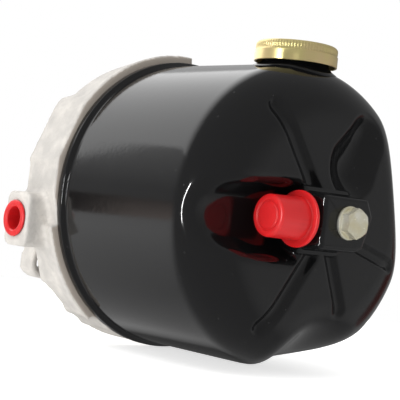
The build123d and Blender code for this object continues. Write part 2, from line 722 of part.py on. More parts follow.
def gear_outline(first_tooth_angle):
    """Involute tooth outline as points, with one tooth centred on the given angle."""
    def roll(radius):
        swing = sqrt(max((radius / BASE_R) ** 2 - 1, 0))
        return swing - atan2(swing, 1)

    half_tooth = (pi * GEAR_MODULE / 2 - BACKLASH) / (2 * PITCH_R) + roll(PITCH_R)
    radii = [BASE_R + (TIP_R - BASE_R) * i / FLANK_STEPS for i in range(FLANK_STEPS + 1)]
    flank = [(ROOT_R, half_tooth)] + [(r, half_tooth - roll(r)) for r in radii]
    outline = []
    for tooth in range(GEAR_TEETH):
        middle = radians(first_tooth_angle) + 2 * pi * tooth / GEAR_TEETH
        outline += [(r * cos(middle - a), r * sin(middle - a)) for r, a in flank]
        outline += [(r * cos(middle + a), r * sin(middle + a)) for r, a in reversed(flank)]
    return outline


DRIVE_KEY_START = 16.0
DRIVE_KEY_WIDTH = 5.0
DRIVE_KEY_END = 30.0
THREAD_END = 44.0
with BuildPart() as drive_gear_shaft:
    with BuildSketch(across(GEAR_MID_Y + GEAR_WIDTH / 2)):
        Polygon(*gear_outline(-90), align=None)
    extrude(amount=GEAR_WIDTH)
    add(
        spun(
            [
                (0, HOUSING_Y + 0.5),
                (SHAFT_R, HOUSING_Y + 0.5),
                (SHAFT_R, REGISTER_Y + 0.5),
                (DRIVE_SHAFT_R, REGISTER_Y + 1.5),
                (DRIVE_SHAFT_R, 4.0),
                (DRIVE_END_R, 4.5),
                (DRIVE_END_R, DRIVE_KEY_END),
                (7.0, DRIVE_KEY_END + 1),
                (7.0, THREAD_END - 1),
                (6.0, THREAD_END),
                (0, THREAD_END),
            ]
        )
    )
    with BuildSketch(upright(0, (DRIVE_KEY_START + DRIVE_KEY_END) / 2, DRIVE_END_R - 3)):
        SlotOverall(DRIVE_KEY_END - DRIVE_KEY_START, DRIVE_KEY_WIDTH, rotation=90)
    extrude(amount=5, mode=Mode.SUBTRACT)
save(drive_gear_shaft.part, "drive_gear_shaft")

with BuildPart() as driven_gear_shaft:
    with BuildSketch(across(GEAR_MID_Y + GEAR_WIDTH / 2)):
        with Locations((0, -CENTRE_DISTANCE)):
            Polygon(*gear_outline(90 + 180 / GEAR_TEETH), align=None)
    extrude(amount=GEAR_WIDTH)
    with BuildSketch(across(REGISTER_Y - 0.5)):
        with Locations((0, -CENTRE_DISTANCE)):
            Circle(SHAFT_R)
    extrude(amount=HOUSING_LENGTH - 1.0)
save(driven_gear_shaft.part, "driven_gear_shaft")

# ---------------------------------------------------------------- drive-end bearing and seal
BEARING_FRONT_Y = 4.0
BEARING_WIDTH = 14.0
bearing_mid_y = BEARING_FRONT_Y - BEARING_WIDTH / 2
TRACK_R = 16.75
BEARING_BALL_R = 3.9


def race(outer, inner):
    """Bearing ring with its ball groove."""
    with BuildPart() as ring:
        add(annulus(outer, inner, BEARING_FRONT_Y, BEARING_FRONT_Y - BEARING_WIDTH))
        with BuildSketch(Plane.XY):
            with Locations((TRACK_R, bearing_mid_y)):
                Circle(BEARING_BALL_R + 0.1)
        revolve(axis=Axis.Y, mode=Mode.SUBTRACT)
    return ring.part


save(race(BEARING_R, 19.6), "bearing_outer_race")
save(race(13.9, DRIVE_SHAFT_R), "bearing_inner_race")
with BuildPart() as bearing_balls:
    for index in range(8):
        ball_x, ball_z = polar(TRACK_R, index * 45.0)
        with Locations((ball_x, bearing_mid_y, ball_z)):
            Sphere(BEARING_BALL_R)
save(bearing_balls.part, "bearing_balls")

with BuildPart() as bearing_circlip:
    with BuildSketch(across(BEARING_FRONT_Y + 1.6)):
        Circle(BEARING_R)
        Circle(BEARING_R - 3.0, mode=Mode.SUBTRACT)
        with Locations((0, 23)):
            Rectangle(7, 8, mode=Mode.SUBTRACT)
    extrude(amount=1.6)
save(bearing_circlip.part, "bearing_circlip")

SEAL_BACK_Y = -24.0
SEAL_FRONT_Y = -17.0
with BuildPart() as shaft_seal:
    add(
        spun(
            [
                (SEAL_POCKET_R, SEAL_BACK_Y),
                (SEAL_POCKET_R, SEAL_FRONT_Y),
                (DRIVE_SHAFT_R + 1.2, SEAL_FRONT_Y),
                (DRIVE_SHAFT_R + 1.2, SEAL_FRONT_Y - 1.5),
                (SEAL_POCKET_R - 2.0, SEAL_FRONT_Y - 1.5),
                (SEAL_POCKET_R - 2.0, SEAL_BACK_Y + 1.2),
                (DRIVE_SHAFT_R + 2.4, SEAL_BACK_Y + 1.2),
                (DRIVE_SHAFT_R + RUN, SEAL_BACK_Y + 2.6),
                (DRIVE_SHAFT_R + 1.6, SEAL_BACK_Y),
            ]
        )
    )
save(shaft_seal.part, "shaft_seal")

with BuildPart() as seal_spring:
    with BuildSketch(Plane.XY):
        with Locations((DRIVE_SHAFT_R + 3.2, SEAL_BACK_Y + 2.2)):
            Circle(0.7)
    revolve(axis=Axis.Y)
save(seal_spring.part, "seal_spring")
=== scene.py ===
"""Finished looks for the steering pump and its pressed-steel oil reservoir.

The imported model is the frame.  Each sub-assembly below is a class that reads its place from the
frame, builds its meshes with bmesh operators and dresses them.  Lengths in the classes are metres
unless a name ends in _mm.
"""

import json
import logging
import math
from dataclasses import dataclass, field
from enum import Enum
from typing import Callable, Iterable, Sequence

import bmesh
import bpy
import numpy as np
from mathutils import Matrix, Vector

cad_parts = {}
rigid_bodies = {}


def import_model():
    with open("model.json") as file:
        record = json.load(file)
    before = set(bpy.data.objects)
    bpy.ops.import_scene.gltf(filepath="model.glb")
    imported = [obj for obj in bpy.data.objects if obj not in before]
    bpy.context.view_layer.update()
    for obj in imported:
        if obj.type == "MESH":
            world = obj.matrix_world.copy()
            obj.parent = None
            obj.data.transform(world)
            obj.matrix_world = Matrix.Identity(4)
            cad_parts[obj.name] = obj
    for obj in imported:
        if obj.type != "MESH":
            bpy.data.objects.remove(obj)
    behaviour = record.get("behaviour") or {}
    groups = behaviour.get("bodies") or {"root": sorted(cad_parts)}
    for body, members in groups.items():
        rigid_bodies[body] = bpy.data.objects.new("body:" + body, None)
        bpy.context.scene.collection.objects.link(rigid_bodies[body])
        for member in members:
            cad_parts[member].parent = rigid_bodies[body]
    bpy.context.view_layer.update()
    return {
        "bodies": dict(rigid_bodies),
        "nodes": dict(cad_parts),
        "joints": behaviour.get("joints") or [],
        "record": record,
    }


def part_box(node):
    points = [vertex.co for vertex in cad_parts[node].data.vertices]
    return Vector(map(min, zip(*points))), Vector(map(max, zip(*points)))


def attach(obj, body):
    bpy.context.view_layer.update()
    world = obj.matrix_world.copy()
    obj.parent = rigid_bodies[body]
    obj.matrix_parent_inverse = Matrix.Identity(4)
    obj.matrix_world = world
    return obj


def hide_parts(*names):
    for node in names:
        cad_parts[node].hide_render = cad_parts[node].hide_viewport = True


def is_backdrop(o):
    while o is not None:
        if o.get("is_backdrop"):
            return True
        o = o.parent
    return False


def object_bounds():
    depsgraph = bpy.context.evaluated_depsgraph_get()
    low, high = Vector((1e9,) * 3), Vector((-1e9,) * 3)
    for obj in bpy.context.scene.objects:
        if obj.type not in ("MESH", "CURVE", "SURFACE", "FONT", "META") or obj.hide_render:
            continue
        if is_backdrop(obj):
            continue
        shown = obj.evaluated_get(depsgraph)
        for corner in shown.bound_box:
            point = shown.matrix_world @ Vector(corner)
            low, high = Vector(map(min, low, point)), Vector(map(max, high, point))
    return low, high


MM = 0.001
LOG = logging.getLogger("pump")
Colour = tuple[float, float, float]
Outline = list[tuple[float, float]]


class Slot(Enum):
    """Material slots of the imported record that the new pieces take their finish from."""

    ENAMEL = "black_paint"
    CASTING = "cast_aluminium"
    GOLD_ZINC = "yellow_zinc"
    PALE_ZINC = "pale_zinc"
    RED = "red_plastic"
    STEEL = "steel"
    SPRING = "spring_steel"
    IRON = "cast_iron"
    RUBBER = "rubber"
    BRONZE = "bearing_bronze"
    PAPER = "paper"


# ------------------------------------------------------------------ shader building


def node_group(name: str, inputs: dict[str, float], outputs: Sequence[str]) -> bpy.types.NodeTree:
    """Start a shader group with float inputs and outputs.

    Args:
        name: Name of the group.
        inputs: Socket names with their default values; a Vector socket is named "Vector".
        outputs: Names of the float outputs.

    Returns:
        The empty group, ready for its nodes.
    """
    tree = bpy.data.node_groups.new(name, "ShaderNodeTree")
    tree.interface.new_socket("Vector", in_out="INPUT", socket_type="NodeSocketVector")
    for key, value in inputs.items():
        socket = tree.interface.new_socket(key, in_out="INPUT", socket_type="NodeSocketFloat")
        socket.default_value = value
    for key in outputs:
        tree.interface.new_socket(key, in_out="OUTPUT", socket_type="NodeSocketFloat")
    return tree


class Wiring:
    """Small helper that adds and links nodes in one node tree."""

    def __init__(self, tree: bpy.types.NodeTree) -> None:
        """Remember the tree."""
        self.tree = tree

    def add(self, kind: str, values: dict | None = None, **settings: object) -> bpy.types.Node:
        """Add a node.

        Args:
            kind: Node type without the ShaderNode prefix, or a full type name.
            values: Input names or indices with a value or an output socket to link.
            settings: Attributes of the node.

        Returns:
            The new node.
        """
        full = kind if kind.startswith(("Node", "Shader")) else "ShaderNode" + kind
        node = self.tree.nodes.new(full)
        for key, value in settings.items():
            setattr(node, key, value)
        for key, value in (values or {}).items():
            if isinstance(value, bpy.types.NodeSocket):
                self.tree.links.new(value, node.inputs[key])
            else:
                node.inputs[key].default_value = value
        return node

    def math(
        self, operation: str, first: object, second: object = 0.0, third: object = 0.0
    ) -> bpy.types.NodeSocket:
        """Add a Math node and return its output."""
        return self.add("Math", {0: first, 1: second, 2: third}, operation=operation).outputs[0]

    def ramp(self, factor: bpy.types.NodeSocket, low: float, high: float) -> bpy.types.NodeSocket:
        """Stretch a value so that low becomes 0 and high becomes 1."""
        values = {"Value": factor, "From Min": low, "From Max": high}
        return self.add("MapRange", values, clamp=True).outputs["Result"]

    def noise(self, vector: bpy.types.NodeSocket, scale: object, detail: float = 3.0) -> bpy.types.NodeSocket:
        """Add 3-D noise and return its factor."""
        return self.add("TexNoise", {"Vector": vector, "Scale": scale, "Detail": detail}).outputs["Fac"]

    def tint(self, factor: object, first: object, second: object) -> bpy.types.NodeSocket:
        """Mix two colours and return the result."""
        mix = self.add("Mix", data_type="RGBA")
        for index, value in ((0, factor), (6, first), (7, second)):
            if isinstance(value, bpy.types.NodeSocket):
                self.tree.links.new(value, mix.inputs[index])
            else:
                mix.inputs[index].default_value = value if index == 0 else (*value, 1.0)
        return mix.outputs[2]


def grain_group() -> bpy.types.NodeTree:
    """Coarse mottle with fine grain over it.

    Returns:
        A group with outputs Mottle, Grain and Height, all from 0 to 1.
    """
    tree = node_group("Grain", {"Coarse": 60.0, "Fine": 900.0}, ("Mottle", "Grain", "Height"))
    wires = Wiring(tree)
    source = wires.add("NodeGroupInput")
    sink = wires.add("NodeGroupOutput")
    coarse = wires.noise(source.outputs["Vector"], source.outputs["Coarse"], 4.0)
    fine = wires.noise(source.outputs["Vector"], source.outputs["Fine"], 2.0)
    height = wires.math("MULTIPLY_ADD", coarse, 0.45, wires.math("MULTIPLY", fine, 0.55))
    for name, value in (("Mottle", coarse), ("Grain", fine), ("Height", height)):
        tree.links.new(value, sink.inputs[name])
    return tree


def speck_group() -> bpy.types.NodeTree:
    """Sparse dust nibs as under spray paint.

    Returns:
        A group with the output Specks, 1 at a nib.
    """
    tree = node_group("Specks", {"Scale": 260.0, "Size": 0.16, "Share": 0.72}, ("Specks",))
    wires = Wiring(tree)
    source = wires.add("NodeGroupInput")
    sink = wires.add("NodeGroupOutput")
    cells = wires.add("TexVoronoi", {"Vector": source.outputs["Vector"], "Scale": source.outputs["Scale"]})
    near = wires.math("LESS_THAN", cells.outputs["Distance"], source.outputs["Size"])
    chosen = wires.add("SeparateColor", {0: cells.outputs["Color"]}).outputs[0]
    rare = wires.math("GREATER_THAN", chosen, source.outputs["Share"])
    tree.links.new(wires.math("MULTIPLY", near, rare), sink.inputs["Specks"])
    return tree


class Toolbox:
    """Shader groups that several finishes share, built once."""

    groups: dict[str, bpy.types.NodeTree] = {}

    @classmethod
    def place(cls, wires: Wiring, name: str, **values: object) -> bpy.types.Node:
        """Put a shared group into a material.

        Args:
            wires: The material's wiring.
            name: "grain" or "specks".
            values: Values of the group's inputs.

        Returns:
            The group node.
        """
        makers: dict[str, Callable[[], bpy.types.NodeTree]] = {"grain": grain_group, "specks": speck_group}
        if name not in cls.groups:
            cls.groups[name] = makers[name]()
        node = wires.add("ShaderNodeGroup")
        node.node_tree = cls.groups[name]
        coords = wires.add("TexCoord").outputs["Object"]
        wires.tree.links.new(coords, node.inputs["Vector"])
        for key, value in values.items():
            node.inputs[key].default_value = value
        return node


@dataclass(frozen=True)
class Finish:
    """A finish with one Principled shader; subclasses add their pattern in dress()."""

    name: str
    colour: Colour
    roughness: float
    metallic: float = 0.0
    cached: dict = field(default_factory=dict, compare=False, repr=False)

    def material(self) -> bpy.types.Material:
        """Return this finish's material, made on first use."""
        if self.name not in self.cached:
            made = bpy.data.materials.new(self.name)
            made.use_nodes = True
            wires = Wiring(made.node_tree)
            shader = made.node_tree.nodes["Principled BSDF"]
            shader.inputs["Base Color"].default_value = (*self.colour, 1.0)
            shader.inputs["Roughness"].default_value = self.roughness
            shader.inputs["Metallic"].default_value = self.metallic
            self.dress(wires, shader)
            self.cached[self.name] = made
        return self.cached[self.name]

    def dress(self, wires: Wiring, shader: bpy.types.Node) -> None:
        """Add colour, gloss and height patterns to the shader."""

    @staticmethod
    def bump(wires: Wiring, shader: bpy.types.Node, height: object, depth: float) -> None:
        """Give the shader a bump of the stated depth in metres."""
        node = wires.add("Bump", {"Height": height, "Distance": depth, "Strength": 1.0})
        wires.tree.links.new(node.outputs["Normal"], shader.inputs["Normal"])


@dataclass(frozen=True)
class Enamel(Finish):
    """Stove enamel: deep gloss, faint orange peel and a few dust nibs."""

    peel_depth: float = 0.00002
    lowest_gloss: float = 0.13

    def dress(self, wires: Wiring, shader: bpy.types.Node) -> None:
        """Add orange peel, nibs and drifting gloss."""
        grain = Toolbox.place(wires, "grain", Coarse=35.0, Fine=420.0)
        specks = Toolbox.place(wires, "specks", Scale=300.0, Size=0.13, Share=0.9)
        height = wires.math("MULTIPLY_ADD", specks.outputs["Specks"], 1.2, grain.outputs["Grain"])
        self.bump(wires, shader, height, self.peel_depth)
        span = {"Value": grain.outputs["Mottle"], "To Min": self.roughness, "To Max": self.lowest_gloss}
        gloss = wires.add("MapRange", span)
        wires.tree.links.new(gloss.outputs["Result"], shader.inputs["Roughness"])
        dusty = wires.tint(specks.outputs["Specks"], self.colour, tuple(c + 0.012 for c in self.colour))
        wires.tree.links.new(dusty, shader.inputs["Base Color"])


@dataclass(frozen=True)
class CastMetal(Finish):
    """Sand-cast skin: granular, mottled and dull, with machined faces square to the shaft."""

    grain_depth: float = 0.0007
    dark: Colour = (0.36, 0.34, 0.32)
    machined: Colour = (0.30, 0.27, 0.22)
    faces_y: tuple[float, ...] = ()
    machining: float = 0.85

    def dress(self, wires: Wiring, shader: bpy.types.Node) -> None:
        """Add granular bump, blotches and the machined faces."""
        grain = Toolbox.place(wires, "grain", Coarse=110.0, Fine=520.0)
        blotch = wires.ramp(grain.outputs["Mottle"], 0.38, 0.72)
        pores = wires.ramp(grain.outputs["Grain"], 0.30, 0.52)
        colour = wires.tint(blotch, self.dark, self.colour)
        colour = wires.tint(wires.math("MULTIPLY_ADD", pores, 0.45, 0.55), self.dark, colour)
        height: object = grain.outputs["Height"]
        rough: object = wires.math("MULTIPLY_ADD", grain.outputs["Grain"], 0.25, self.roughness - 0.1)
        if self.faces_y:
            spot = wires.add("SeparateXYZ", {0: wires.add("TexCoord").outputs["Object"]}).outputs[1]
            normal = wires.add("SeparateXYZ", {0: wires.add("NewGeometry").outputs["Normal"]}).outputs[1]
            square = wires.math("GREATER_THAN", wires.math("ABSOLUTE", normal), 0.9)
            on_face: object = 0.0
            for level in self.faces_y:
                near = wires.math("COMPARE", spot, level, 0.0004)
                on_face = wires.math("MAXIMUM", on_face, near)
            mask = wires.math("MULTIPLY", square, on_face)
            colour = wires.tint(mask, colour, self.machined)
            kept_grain = wires.math("SUBTRACT", 1.0, wires.math("MULTIPLY", mask, self.machining))
            height = wires.math("MULTIPLY", height, kept_grain)
        wires.tree.links.new(colour, shader.inputs["Base Color"])
        wires.tree.links.new(rough, shader.inputs["Roughness"])
        self.bump(wires, shader, height, self.grain_depth)


@dataclass(frozen=True)
class Plate(Finish):
    """Passivated zinc or bare steel: metal whose tint drifts over the surface."""

    drift: Colour = (0.5, 0.5, 0.5)
    second_drift: Colour | None = None
    scratch_depth: float = 0.00001
    coarse: float = 70.0

    def dress(self, wires: Wiring, shader: bpy.types.Node) -> None:
        """Add the drifting tint, fine scratches and uneven gloss."""
        grain = Toolbox.place(wires, "grain", Coarse=self.coarse, Fine=1600.0)
        colour = wires.tint(wires.ramp(grain.outputs["Mottle"], 0.35, 0.65), self.colour, self.drift)
        if self.second_drift:
            far = wires.noise(wires.add("TexCoord").outputs["Object"], self.coarse * 0.6, 2.0)
            colour = wires.tint(wires.ramp(far, 0.50, 0.68), colour, self.second_drift)
        wires.tree.links.new(colour, shader.inputs["Base Color"])
        rough = wires.math("MULTIPLY_ADD", grain.outputs["Grain"], 0.06, self.roughness - 0.03)
        wires.tree.links.new(rough, shader.inputs["Roughness"])
        self.bump(wires, shader, grain.outputs["Grain"], self.scratch_depth)


@dataclass(frozen=True)
class Polyethylene(Finish):
    """Soft translucent moulding, waxy with faint flow marks."""

    deep: Colour = (0.42, 0.006, 0.008)
    flow_axis: int = 0

    def dress(self, wires: Wiring, shader: bpy.types.Node) -> None:
        """Add scatter, flow streaks along the moulding's axis and a waxy sheen."""
        coords = wires.add("TexCoord").outputs["Object"]
        stretch = [900.0, 900.0, 900.0]
        stretch[self.flow_axis] = 60.0
        mapped = wires.add("Mapping", {"Vector": coords, "Scale": stretch}).outputs[0]
        streaks = wires.noise(mapped, 1.0, 3.0)
        grain = Toolbox.place(wires, "grain", Coarse=90.0, Fine=1200.0)
        colour = wires.tint(wires.ramp(streaks, 0.35, 0.75), self.colour, self.deep)
        colour = wires.tint(wires.ramp(grain.outputs["Mottle"], 0.3, 0.9), self.colour, colour)
        wires.tree.links.new(colour, shader.inputs["Base Color"])
        self.bump(wires, shader, streaks, 0.00002)
        shader.inputs["Subsurface Weight"].default_value = 0.35
        shader.inputs["Subsurface Radius"].default_value = (0.004, 0.0006, 0.0004)
        shader.inputs["Subsurface Scale"].default_value = 1.0
        shader.inputs["Coat Weight"].default_value = 0.3
        shader.inputs["Coat Roughness"].default_value = 0.25


@dataclass(frozen=True)
class SoftGoods(Finish):
    """Rubber or filter paper: matt, with a fine tooth."""

    tooth: float = 700.0
    shade: float = 0.6

    def dress(self, wires: Wiring, shader: bpy.types.Node) -> None:
        """Add the tooth and a little shade."""
        grain = Toolbox.place(wires, "grain", Coarse=120.0, Fine=self.tooth)
        darker = tuple(c * self.shade for c in self.colour)
        colour = wires.tint(wires.ramp(grain.outputs["Mottle"], 0.3, 0.7), darker, self.colour)
        wires.tree.links.new(colour, shader.inputs["Base Color"])
        self.bump(wires, shader, grain.outputs["Grain"], 0.00005)


FINISHES: dict[Slot, Finish] = {
    Slot.ENAMEL: Enamel("Black stove enamel", (0.0045, 0.0045, 0.0048), 0.06),
    Slot.GOLD_ZINC: Plate(
        "Yellow zinc", (0.80, 0.62, 0.32), 0.30, 0.78, drift=(0.74, 0.64, 0.28),
        second_drift=(0.76, 0.50, 0.36), scratch_depth=0.000001, coarse=45.0,
    ),
    Slot.PALE_ZINC: Plate(
        "Pale zinc", (0.74, 0.71, 0.56), 0.26, 0.7, drift=(0.70, 0.64, 0.44), second_drift=(0.84, 0.83, 0.74),
        scratch_depth=0.000003, coarse=160.0,
    ),
    Slot.RED: Polyethylene("Red polyethylene", (0.54, 0.010, 0.012), 0.34),
    Slot.STEEL: Plate("Ground steel", (0.56, 0.56, 0.57), 0.26, 1.0, drift=(0.47, 0.47, 0.49)),
    Slot.SPRING: Plate("Spring wire", (0.30, 0.30, 0.32), 0.34, 1.0, drift=(0.20, 0.21, 0.24)),
    Slot.RUBBER: SoftGoods("Nitrile rubber", (0.018, 0.018, 0.019), 0.55),
    Slot.BRONZE: Plate("Bearing bronze", (0.60, 0.41, 0.20), 0.32, 1.0, drift=(0.50, 0.33, 0.17)),
    Slot.PAPER: SoftGoods("Filter paper", (0.70, 0.58, 0.34), 0.85, tooth=500.0, shade=0.8),
    Slot.IRON: CastMetal(
        "Grey iron", (0.20, 0.20, 0.21), 0.55, 0.7, grain_depth=0.00008, dark=(0.12, 0.12, 0.125)
    ),
}


# ------------------------------------------------------------------ mesh building


def finished(
    bm: bmesh.types.BMesh, name: str, slot: Slot, body: str, finish: Finish | None = None, crease: float = 0.0
) -> bpy.types.Object:
    """Turn a bmesh into a piece, dress it and set it riding.

    Args:
        bm: The built mesh, freed here.
        name: Name of the piece.
        slot: Record slot of its finish.
        body: CAD body that it rides on.
        finish: Finish to use in place of the slot's own.
        crease: Angle in degrees above which an edge shows sharp; 0 keeps every edge soft.

    Returns:
        The new object at the origin.
    """
    mesh = bpy.data.meshes.new(name)
    bm.to_mesh(mesh)
    bm.free()
    for face in mesh.polygons:
        face.use_smooth = True
    if crease:
        mesh.set_sharp_from_angle(angle=math.radians(crease))
    piece = bpy.data.objects.new(name, mesh)
    bpy.context.scene.collection.objects.link(piece)
    mesh.materials.append((finish or FINISHES[slot]).material())
    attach(piece, body)
    return piece


def lathe(profile: Outline, steps: int, closed: bool = True) -> bmesh.types.BMesh:
    """Spin a profile of (radius, height) points about Z.

    Args:
        profile: Points in order; a radius of 0 lies on the axis.
        steps: Segments in the full turn.
        closed: Whether the last point joins the first.

    Returns:
        The turned mesh with outward normals.
    """
    bm = bmesh.new()
    points = [bm.verts.new((radius, 0.0, height)) for radius, height in profile]
    pairs = list(zip(points, points[1:])) + ([(points[-1], points[0])] if closed else [])
    edges = [bm.edges.new(pair) for pair in pairs]
    bmesh.ops.spin(
        bm, geom=points + edges, axis=(0, 0, 1), cent=(0, 0, 0), angle=math.tau, steps=steps, use_merge=True
    )
    bmesh.ops.remove_doubles(bm, verts=bm.verts, dist=1e-7)
    bmesh.ops.recalc_face_normals(bm, faces=bm.faces)
    return bm


def rounded_profile(corners: Sequence[tuple[float, float, float]], steps: int = 4) -> Outline:
    """Round the corners of an open profile.

    Args:
        corners: (radius, height, corner radius) in order.
        steps: Points along each rounded corner.

    Returns:
        The profile's points.
    """
    points: Outline = []
    for index, (x, y, round_r) in enumerate(corners):
        if round_r <= 0 or index in (0, len(corners) - 1):
            points.append((x, y))
            continue
        here = Vector((x, y))
        before = (Vector(corners[index - 1][:2]) - here).normalized()
        after = (Vector(corners[index + 1][:2]) - here).normalized()
        reach = round_r / math.tan(before.angle(after) / 2)
        start, end = here + before * reach, here + after * reach
        for step in range(steps + 1):
            t = step / steps
            point = start * (1 - t) ** 2 + here * 2 * t * (1 - t) + end * t**2
            points.append((point.x, point.y))
    return points


def turned_to(bm: bmesh.types.BMesh, origin: Vector, axis: Vector) -> None:
    """Stand a lathe piece along an axis at its place."""
    turn = Vector((0, 0, 1)).rotation_difference(axis).to_matrix().to_4x4()
    bmesh.ops.transform(bm, matrix=Matrix.Translation(origin) @ turn, verts=bm.verts)


def moved(mesh_verts: Iterable[bmesh.types.BMVert], places: np.ndarray) -> None:
    """Put each vertex at its row of places."""
    for vert, place in zip(mesh_verts, places):
        vert.co = place


def even_out(bm: bmesh.types.BMesh, verts: list[bmesh.types.BMVert]) -> None:
    """Move each vertex half way to the middle of its neighbours."""
    bmesh.ops.smooth_vert(bm, verts=verts, factor=0.5, use_axis_x=True, use_axis_y=True, use_axis_z=True)


def smooth_max(first: np.ndarray, second: np.ndarray, blend: float) -> np.ndarray:
    """Larger of two fields with a rounded crease blend wide."""
    mix = np.clip(0.5 + 0.5 * (first - second) / blend, 0.0, 1.0)
    return second + (first - second) * mix + blend * mix * (1.0 - mix)


def segment_distance(x: np.ndarray, z: np.ndarray, start: Sequence[float], end: Sequence[float]) -> tuple:
    """Distance from points to a segment in the X-Z plane.

    Args:
        x: X of the points.
        z: Z of the points.
        start: First end of the segment.
        end: Other end.

    Returns:
        The distances, and how far along the segment each nearest point lies, 0 to 1.
    """
    dx, dz = end[0] - start[0], end[1] - start[1]
    along = np.clip(((x - start[0]) * dx + (z - start[1]) * dz) / (dx * dx + dz * dz), 0.0, 1.0)
    return np.hypot(x - start[0] - along * dx, z - start[1] - along * dz), along


# ------------------------------------------------------------------ the pressed can


@dataclass
class PressedCan:
    """Deep-drawn can: side wall, turned edge, and everything pressed into the closed end.

    Sizes are millimetres.  The can's own frame has its axis along Y, with depth counted from the
    rim towards the closed end.
    """

    body: str
    rim_y: float = 0.0
    length: float = 114.0
    radius: float = 75.0
    knuckle: float = 27.5
    skirt_r: float = 77.0
    wall: float = 1.8
    pad_height: float = 14.5
    grid: int = 168
    trough_r: float = 17.0
    trough_z: float = -2.5
    trough_rise: float = 1.0
    rib_lines: tuple = (
        ((-9.0, 13.0), (-36.0, 49.5), 4.4),
        ((-7.0, -17.0), (-31.0, -52.0), 4.4),
        ((5.0, -15.0), (16.5, -42.0), 3.8),
        ((19.0, -9.5), (50.0, -18.8), 3.6),
    )
    dish: tuple = ((15.5, 28.0), (22.5, 40.5), 16.5, 13.0, 9.0)
    flank_reach: float = 113.1
    notch_r: float = 24.0
    notch_x: float = 9.0
    notch_floor_z: float = -52.6
    notch_from: float = 108.0
    notch_slope: float = 0.78
    lobe_floor_z: float = -60.2
    lobe_slope: float = 0.38
    lobe_from_x: float = 9.0
    pad_outline: tuple = ((-17, -14), (-17, 12.5), (13, 12.5), (17.5, 4), (12.5, -12), (8, -14))

    def __post_init__(self) -> None:
        """Take the rim plane and the far end from the frame."""
        low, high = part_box("reservoir_can")
        self.rim_y = high.y / MM
        self.length = (high.y - low.y) / MM - self.pad_height

    def field(self, points: np.ndarray) -> np.ndarray:
        """Signed distance to the can's outside, negative inside.

        Args:
            points: Rows of x, depth, z.

        Returns:
            One distance for each row.
        """
        x, depth, z = points.T
        radial = np.hypot(x, z)
        over_r = radial - (self.radius - self.knuckle)
        over_d = depth - (self.length - self.knuckle)
        outside = np.hypot(np.maximum(over_r, 0), np.maximum(over_d, 0))
        base = outside + np.minimum(np.maximum(over_r, over_d), 0) - self.knuckle
        shape = base
        # flattened right-hand flank
        flank = 0.730 * x + 0.6545 * depth + 0.196 * z - self.flank_reach
        shape = smooth_max(shape, flank, 5.0)
        # hose trough
        slim = self.trough_r - 0.02 * np.maximum(-x - 17.0, 0)
        trough = slim - np.hypot(depth - self.length - self.trough_rise, z - self.trough_z)
        trough = -smooth_max(-trough, x + 16.0, 1.5)
        shape = smooth_max(shape, trough, 6.0)
        # ribs
        for start, end, groove_r in self.rib_lines:
            off, _ = segment_distance(x, z, start, end)
            groove = groove_r - np.hypot(off, base - groove_r * 0.36)
            shape = smooth_max(shape, np.where(depth > self.length * 0.5, groove, -9.0), 1.3)
        # oval dish
        start, end, wide, narrow, deep = self.dish
        off, along = segment_distance(x, z, start, end)
        share = off / (wide + (narrow - wide) * along)
        sunk = np.where(depth > self.length * 0.5, base + deep * (1.0 - share**2), base - 9.0)
        shape = smooth_max(shape, sunk, 1.6)
        # scallop rolled into the lower edge, and the flatter lobe beside it
        fall = self.notch_slope * (self.notch_from - depth)
        lean = math.hypot(1.0, self.notch_slope)
        above_centre = z - self.notch_floor_z + fall + self.notch_r
        scallop = (self.notch_r - np.hypot(x - self.notch_x, above_centre)) / lean
        lobe = (0.07 * x - z + self.lobe_floor_z - self.lobe_slope * (self.notch_from - depth)) / 1.07
        lobe = -smooth_max(-lobe, (self.lobe_from_x - x) * 0.6, 6.0)
        shape = smooth_max(shape, lobe, 7.0)
        return smooth_max(shape, scallop, 8.0)

    def settle(self, points: np.ndarray, rounds: int = 2) -> np.ndarray:
        """Pull points onto the surface along the field's gradient.

        Args:
            points: Rows of x, depth, z near the surface.
            rounds: Newton steps.

        Returns:
            The moved points.
        """
        for _ in range(rounds):
            value = self.field(points)
            slope = np.empty_like(points)
            for axis in range(3):
                step = np.zeros(3)
                step[axis] = 0.05
                slope[:, axis] = (self.field(points + step) - self.field(points - step)) / 0.1
            size = np.maximum((slope**2).sum(axis=1), 0.25)
            points = points - slope * (value / size)[:, None]
        return points

    def profile(self, share: np.ndarray) -> tuple[np.ndarray, np.ndarray, np.ndarray]:
        """Radius, depth and outward slant on the plain end as share goes from 0 to 1."""
        flat = self.radius - self.knuckle
        split = 0.60
        swing = np.clip((share - split) / (1 - split), 0, 1) * math.pi / 2
        radial = np.where(share < split, share / split * flat, flat + self.knuckle * np.sin(swing))
        depth = np.where(share < split, self.length, self.length - self.knuckle * (1 - np.cos(swing)))
        return radial, depth, swing

    def end_points(self, grid: np.ndarray) -> np.ndarray:
        """Lay a square grid over the end and turned edge, then press the shapes into it.

        Args:
            grid: Rows of u, v from -1 to 1.

        Returns:
            Rows of x, depth, z on the pressed surface.
        """
        u, v = grid.T
        a = u * np.sqrt(1 - v**2 / 2)
        b = v * np.sqrt(1 - u**2 / 2)
        share = np.clip(np.hypot(a, b), 1e-9, 1.0)
        radial, depth, swing = self.profile(share)
        ca, sa = a / share, b / share
        start = np.stack([radial * ca, depth, radial * sa], axis=1)
        outward = np.stack([np.sin(swing) * ca, np.cos(swing), np.sin(swing) * sa], axis=1)
        return self.sink(start, outward)

    def sink(self, start: np.ndarray, outward: np.ndarray) -> np.ndarray:
        """March points inwards from just outside until they meet the surface."""
        travel = np.full(len(start), -1.0)
        for _ in range(60):
            travel += 0.7 * np.maximum(self.field(start - outward * travel[:, None]), 0.0)
        return start - outward * travel[:, None]

